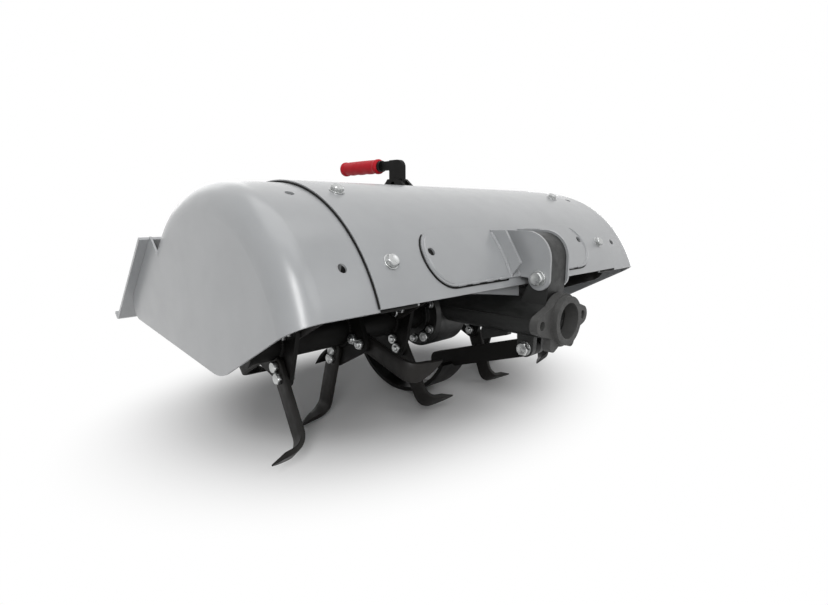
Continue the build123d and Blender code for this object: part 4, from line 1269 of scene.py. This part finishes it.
@dataclass
class SkidDress(Dress):
    """Moulded grip of the skid's lever.

    Attributes:
        swell: How much the grip swells towards its middle.
        ribs: Number of finger ribs.
        rib: Height of a rib.
        ribbed: Share of the grip's length that has them.
        rim: Height of the collar at the grip's ends.
        rim_width: Width of that collar.
        rim_slope: How gently it rises.
        corner: Radius to which the ends are rounded.
    """

    swell: float = 0.5
    ribs: int = 4
    rib: float = 0.8
    ribbed: float = 0.8
    rim: float = 0.9
    rim_width: float = 8.0
    rim_slope: float = 0.6
    corner: float = 3.0

    def build(self) -> None:
        """Moulds the grip: a turned bar about Y whose radius swells in the middle and at its rims, with
        cosine scallops between finger ribs on its underside and a quarter circle at each end."""
        middle, half = node_box("grip")
        inner = half[1] - self.corner
        bow = self.corner * np.sin(np.linspace(0, pi / 2, 7))[1:] + inner
        along = np.concatenate([-bow[::-1], np.linspace(-inner, inner, 90), bow])[:, None]
        turn = np.linspace(0, 2 * pi, 32, endpoint=False)[None, :]
        share, reach = along / half[1], np.abs(along)
        body = half[2] - self.rim - self.swell * share ** 2
        rims = self.rim / (1 + np.exp((half[1] - self.rim_width - reach) / self.rim_slope))
        wave = self.rib / 2 * (1 - np.cos(pi * self.ribs * (share + 1)))
        scallop = wave * np.clip(-np.sin(turn), 0, 1) ** 1.5 * (np.abs(share) < self.ribbed)
        over = np.clip((reach - inner) / self.corner, 0, 1)
        radius = body + rims - scallop - self.corner * (1 - np.sqrt(1 - over ** 2))
        ring = np.broadcast_arrays(radius * np.cos(turn), along, radius * np.sin(turn))
        surface = np.stack(ring, axis=-1) + middle
        shape = Shape()
        shape.grid(surface)
        shape.close(surface[:1])
        shape.close(surface[-1:])
        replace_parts(shape.finish("moulded_grip", "skid", self.looks[DippedVinyl]), "grip")


# ---------------------------------------------------------------- studio
@dataclass(frozen=True)
class Lamp:
    """Oblong soft lamp, its width level.

    Attributes:
        name: Name of the lamp.
        place: Its place in metres.
        aim: Point that it faces.
        size: Its width and height in metres.
        power: Watts.
    """

    name: str
    place: Point
    aim: Point
    size: Pair
    power: float

    def hang(self) -> None:
        """Hangs the lamp in the studio."""
        data = bpy.data.lights.new(self.name, "AREA")
        data.shape = "RECTANGLE"
        data.size, data.size_y = self.size
        data.energy = self.power
        made = add_object(self.name, data)
        made.location = self.place
        x, y, z = np.subtract(self.place, self.aim)
        made.rotation_euler = Euler((np.arctan2(np.hypot(x, y), z), 0.0, np.arctan2(x, -y)))


# Columns: name, place, aim, size, power.
LAMPS = (Lamp("front", (-1.48, -1.42, 1.2), (-0.1, 0.0, 0.15), (0.5, 1.5), 23.0),
         Lamp("upper front", (0.4, -1.8, 1.6), (0.0, 0.0, 0.15), (1.4, 1.0), 6.0),
         Lamp("side", (2.2, 0.4, 0.4), (0.0, 0.0, 0.15), (1.4, 0.5), 6.5),
         Lamp("back", (0.2, 2.2, 1.2), (0.0, 0.0, 0.15), (1.4, 1.4), 5.5),
         Lamp("top", (-0.1, -0.1, 2.2), (0.0, 0.0, 0.1), (1.8, 1.8), 13.0))


@dataclass
class Studio:
    """Pale floor, soft lamps and the camera.

    Attributes:
        camera_from_axle: Camera's place from the rotor axle at mid-width, in metres.
        yaw: Degrees from +Y towards +X that the camera looks along.
        pitch: Degrees that it looks down.
        lens: Focal length in mm.
        sensor: Width of the sensor in mm.
        floor_half: Half the floor's side, in metres.
        floor_colour: Colour of the matt floor, sRGB hex.
        fade_half: Half width and half depth in metres of the oval outside which the floor is pure white.
        fade_middle: Middle of that oval.
        fade: Shares of the oval between which the floor turns white.
        glow: Strength of the surroundings as light.
    """

    camera_from_axle: Point = (-0.58205, -0.54248, 0.15503)
    yaw: float = 45.25
    pitch: float = 10.13
    lens: float = 22.42
    sensor: float = 36.0
    floor_half: float = 6.0
    floor_colour: str = "#F2F2F2"
    fade_half: Pair = (0.43, 0.32)
    fade_middle: Pair = (-0.03, 0.06)
    fade: Pair = (0.45, 1.12)
    glow: float = 0.1

    def camera(self) -> None:
        """Sets the camera at the viewing angle."""
        data = bpy.data.cameras.new("camera")
        data.lens = self.lens
        data.sensor_width = self.sensor
        data.clip_start = 0.01
        made = add_object("camera", data)
        made.location = AXLE + self.camera_from_axle
        made.rotation_euler = Euler((radians(90 - self.pitch), 0.0, radians(-self.yaw)))
        bpy.context.scene.camera = made

    def seen(self, tree: Tree) -> Socket:
        """Gives 1 to camera, mirror and glass rays, which see the white surroundings, and 0 to the light.

        Args:
            tree: Node tree that takes the nodes.

        Returns:
            Socket of that share.
        """
        path = add_node(tree, "LightPath")
        share = path.outputs["Is Camera Ray"]
        for ray in ("Is Glossy Ray", "Is Transmission Ray"):
            either = add_node(tree, "Math", {"operation": "MAXIMUM"}, {0: share, 1: path.outputs[ray]})
            share = either.outputs[0]
        return share

    def floor(self) -> None:
        """Lays the pale floor: matt near the object, where it keeps the shadow, and pure white further off.

        The matt floor turns into white light by the distance from the middle of an oval, in shares of its
        half width and half depth, for camera and mirror rays alone."""
        half = self.floor_half
        mesh = bpy.data.meshes.new("floor")
        corners = [(-half, -half, 0), (half, -half, 0), (half, half, 0), (-half, half, 0)]
        mesh.from_pydata(corners, [], [(0, 1, 2, 3)])
        material = bpy.data.materials.new("pale studio floor")
        tree = fresh_tree(material)
        matt = add_node(tree, "BsdfDiffuse", {"Color": linear(self.floor_colour)})
        white = add_node(tree, "Emission", {"Color": linear("#FFFFFF"), "Strength": 1.0})
        place = add_node(tree, "TexCoord").outputs["Object"]
        scale = np.array([1 / self.fade_half[0], 1 / self.fade_half[1], 1.0])
        shift = -scale * (*self.fade_middle, 0.0)
        scaled = add_node(tree, "Mapping", {"Scale": scale, "Location": shift}, {"Vector": place})
        away = add_node(tree, "VectorMath", {"operation": "LENGTH"}, {0: scaled.outputs["Vector"]})
        fade = add_node(tree, "MapRange", {"interpolation_type": "SMOOTHSTEP", "From Min": self.fade[0],
                                           "From Max": self.fade[1]}, {"Value": away.outputs["Value"]})
        share = add_node(tree, "Math", {"operation": "MULTIPLY"},
                         {0: self.seen(tree), 1: fade.outputs["Result"]})
        both = add_node(tree, "MixShader", {}, {0: share.outputs[0], 1: matt.outputs["BSDF"],
                                                2: white.outputs["Emission"]})
        add_node(tree, "OutputMaterial", {}, {"Surface": both.outputs["Shader"]})
        mesh.materials.append(material)
        add_object("floor", mesh)

    def world(self) -> None:
        """Even pale surroundings: white to the camera and in reflections, gentler as light."""
        world = bpy.data.worlds.new("studio")
        bpy.context.scene.world = world
        tree = fresh_tree(world)
        strength = add_node(tree, "MapRange", {"To Min": self.glow, "To Max": 1.0},
                            {"Value": self.seen(tree)})
        back = add_node(tree, "Background", {"Color": linear("#FFFFFF")},
                        {"Strength": strength.outputs["Result"]})
        add_node(tree, "OutputWorld", {}, {"Surface": back.outputs["Background"]})

    def build(self) -> None:
        """Sets up the view, the light and the floor."""
        bpy.context.scene.view_settings.view_transform = "Standard"
        self.camera()
        self.floor()
        self.world()
        for lamp in LAMPS:
            lamp.hang()
        LOG.info("studio with %d lamps", len(LAMPS))


def main() -> None:
    """Builds the sub-assemblies in order."""
    logging.basicConfig(level=logging.INFO, format="%(name)s: %(message)s")
    looks = {type(finish): finish.make() for finish in FINISHES}
    dress_frame(looks)
    for assembly in (HoodDress, StripDress, WebDress, SaddleDress, DriveDress, RotorDress, FlapDress,
                     SkidDress):
        assembly(looks).build()
    Studio().build()


if __name__ == "__main__":
    main()
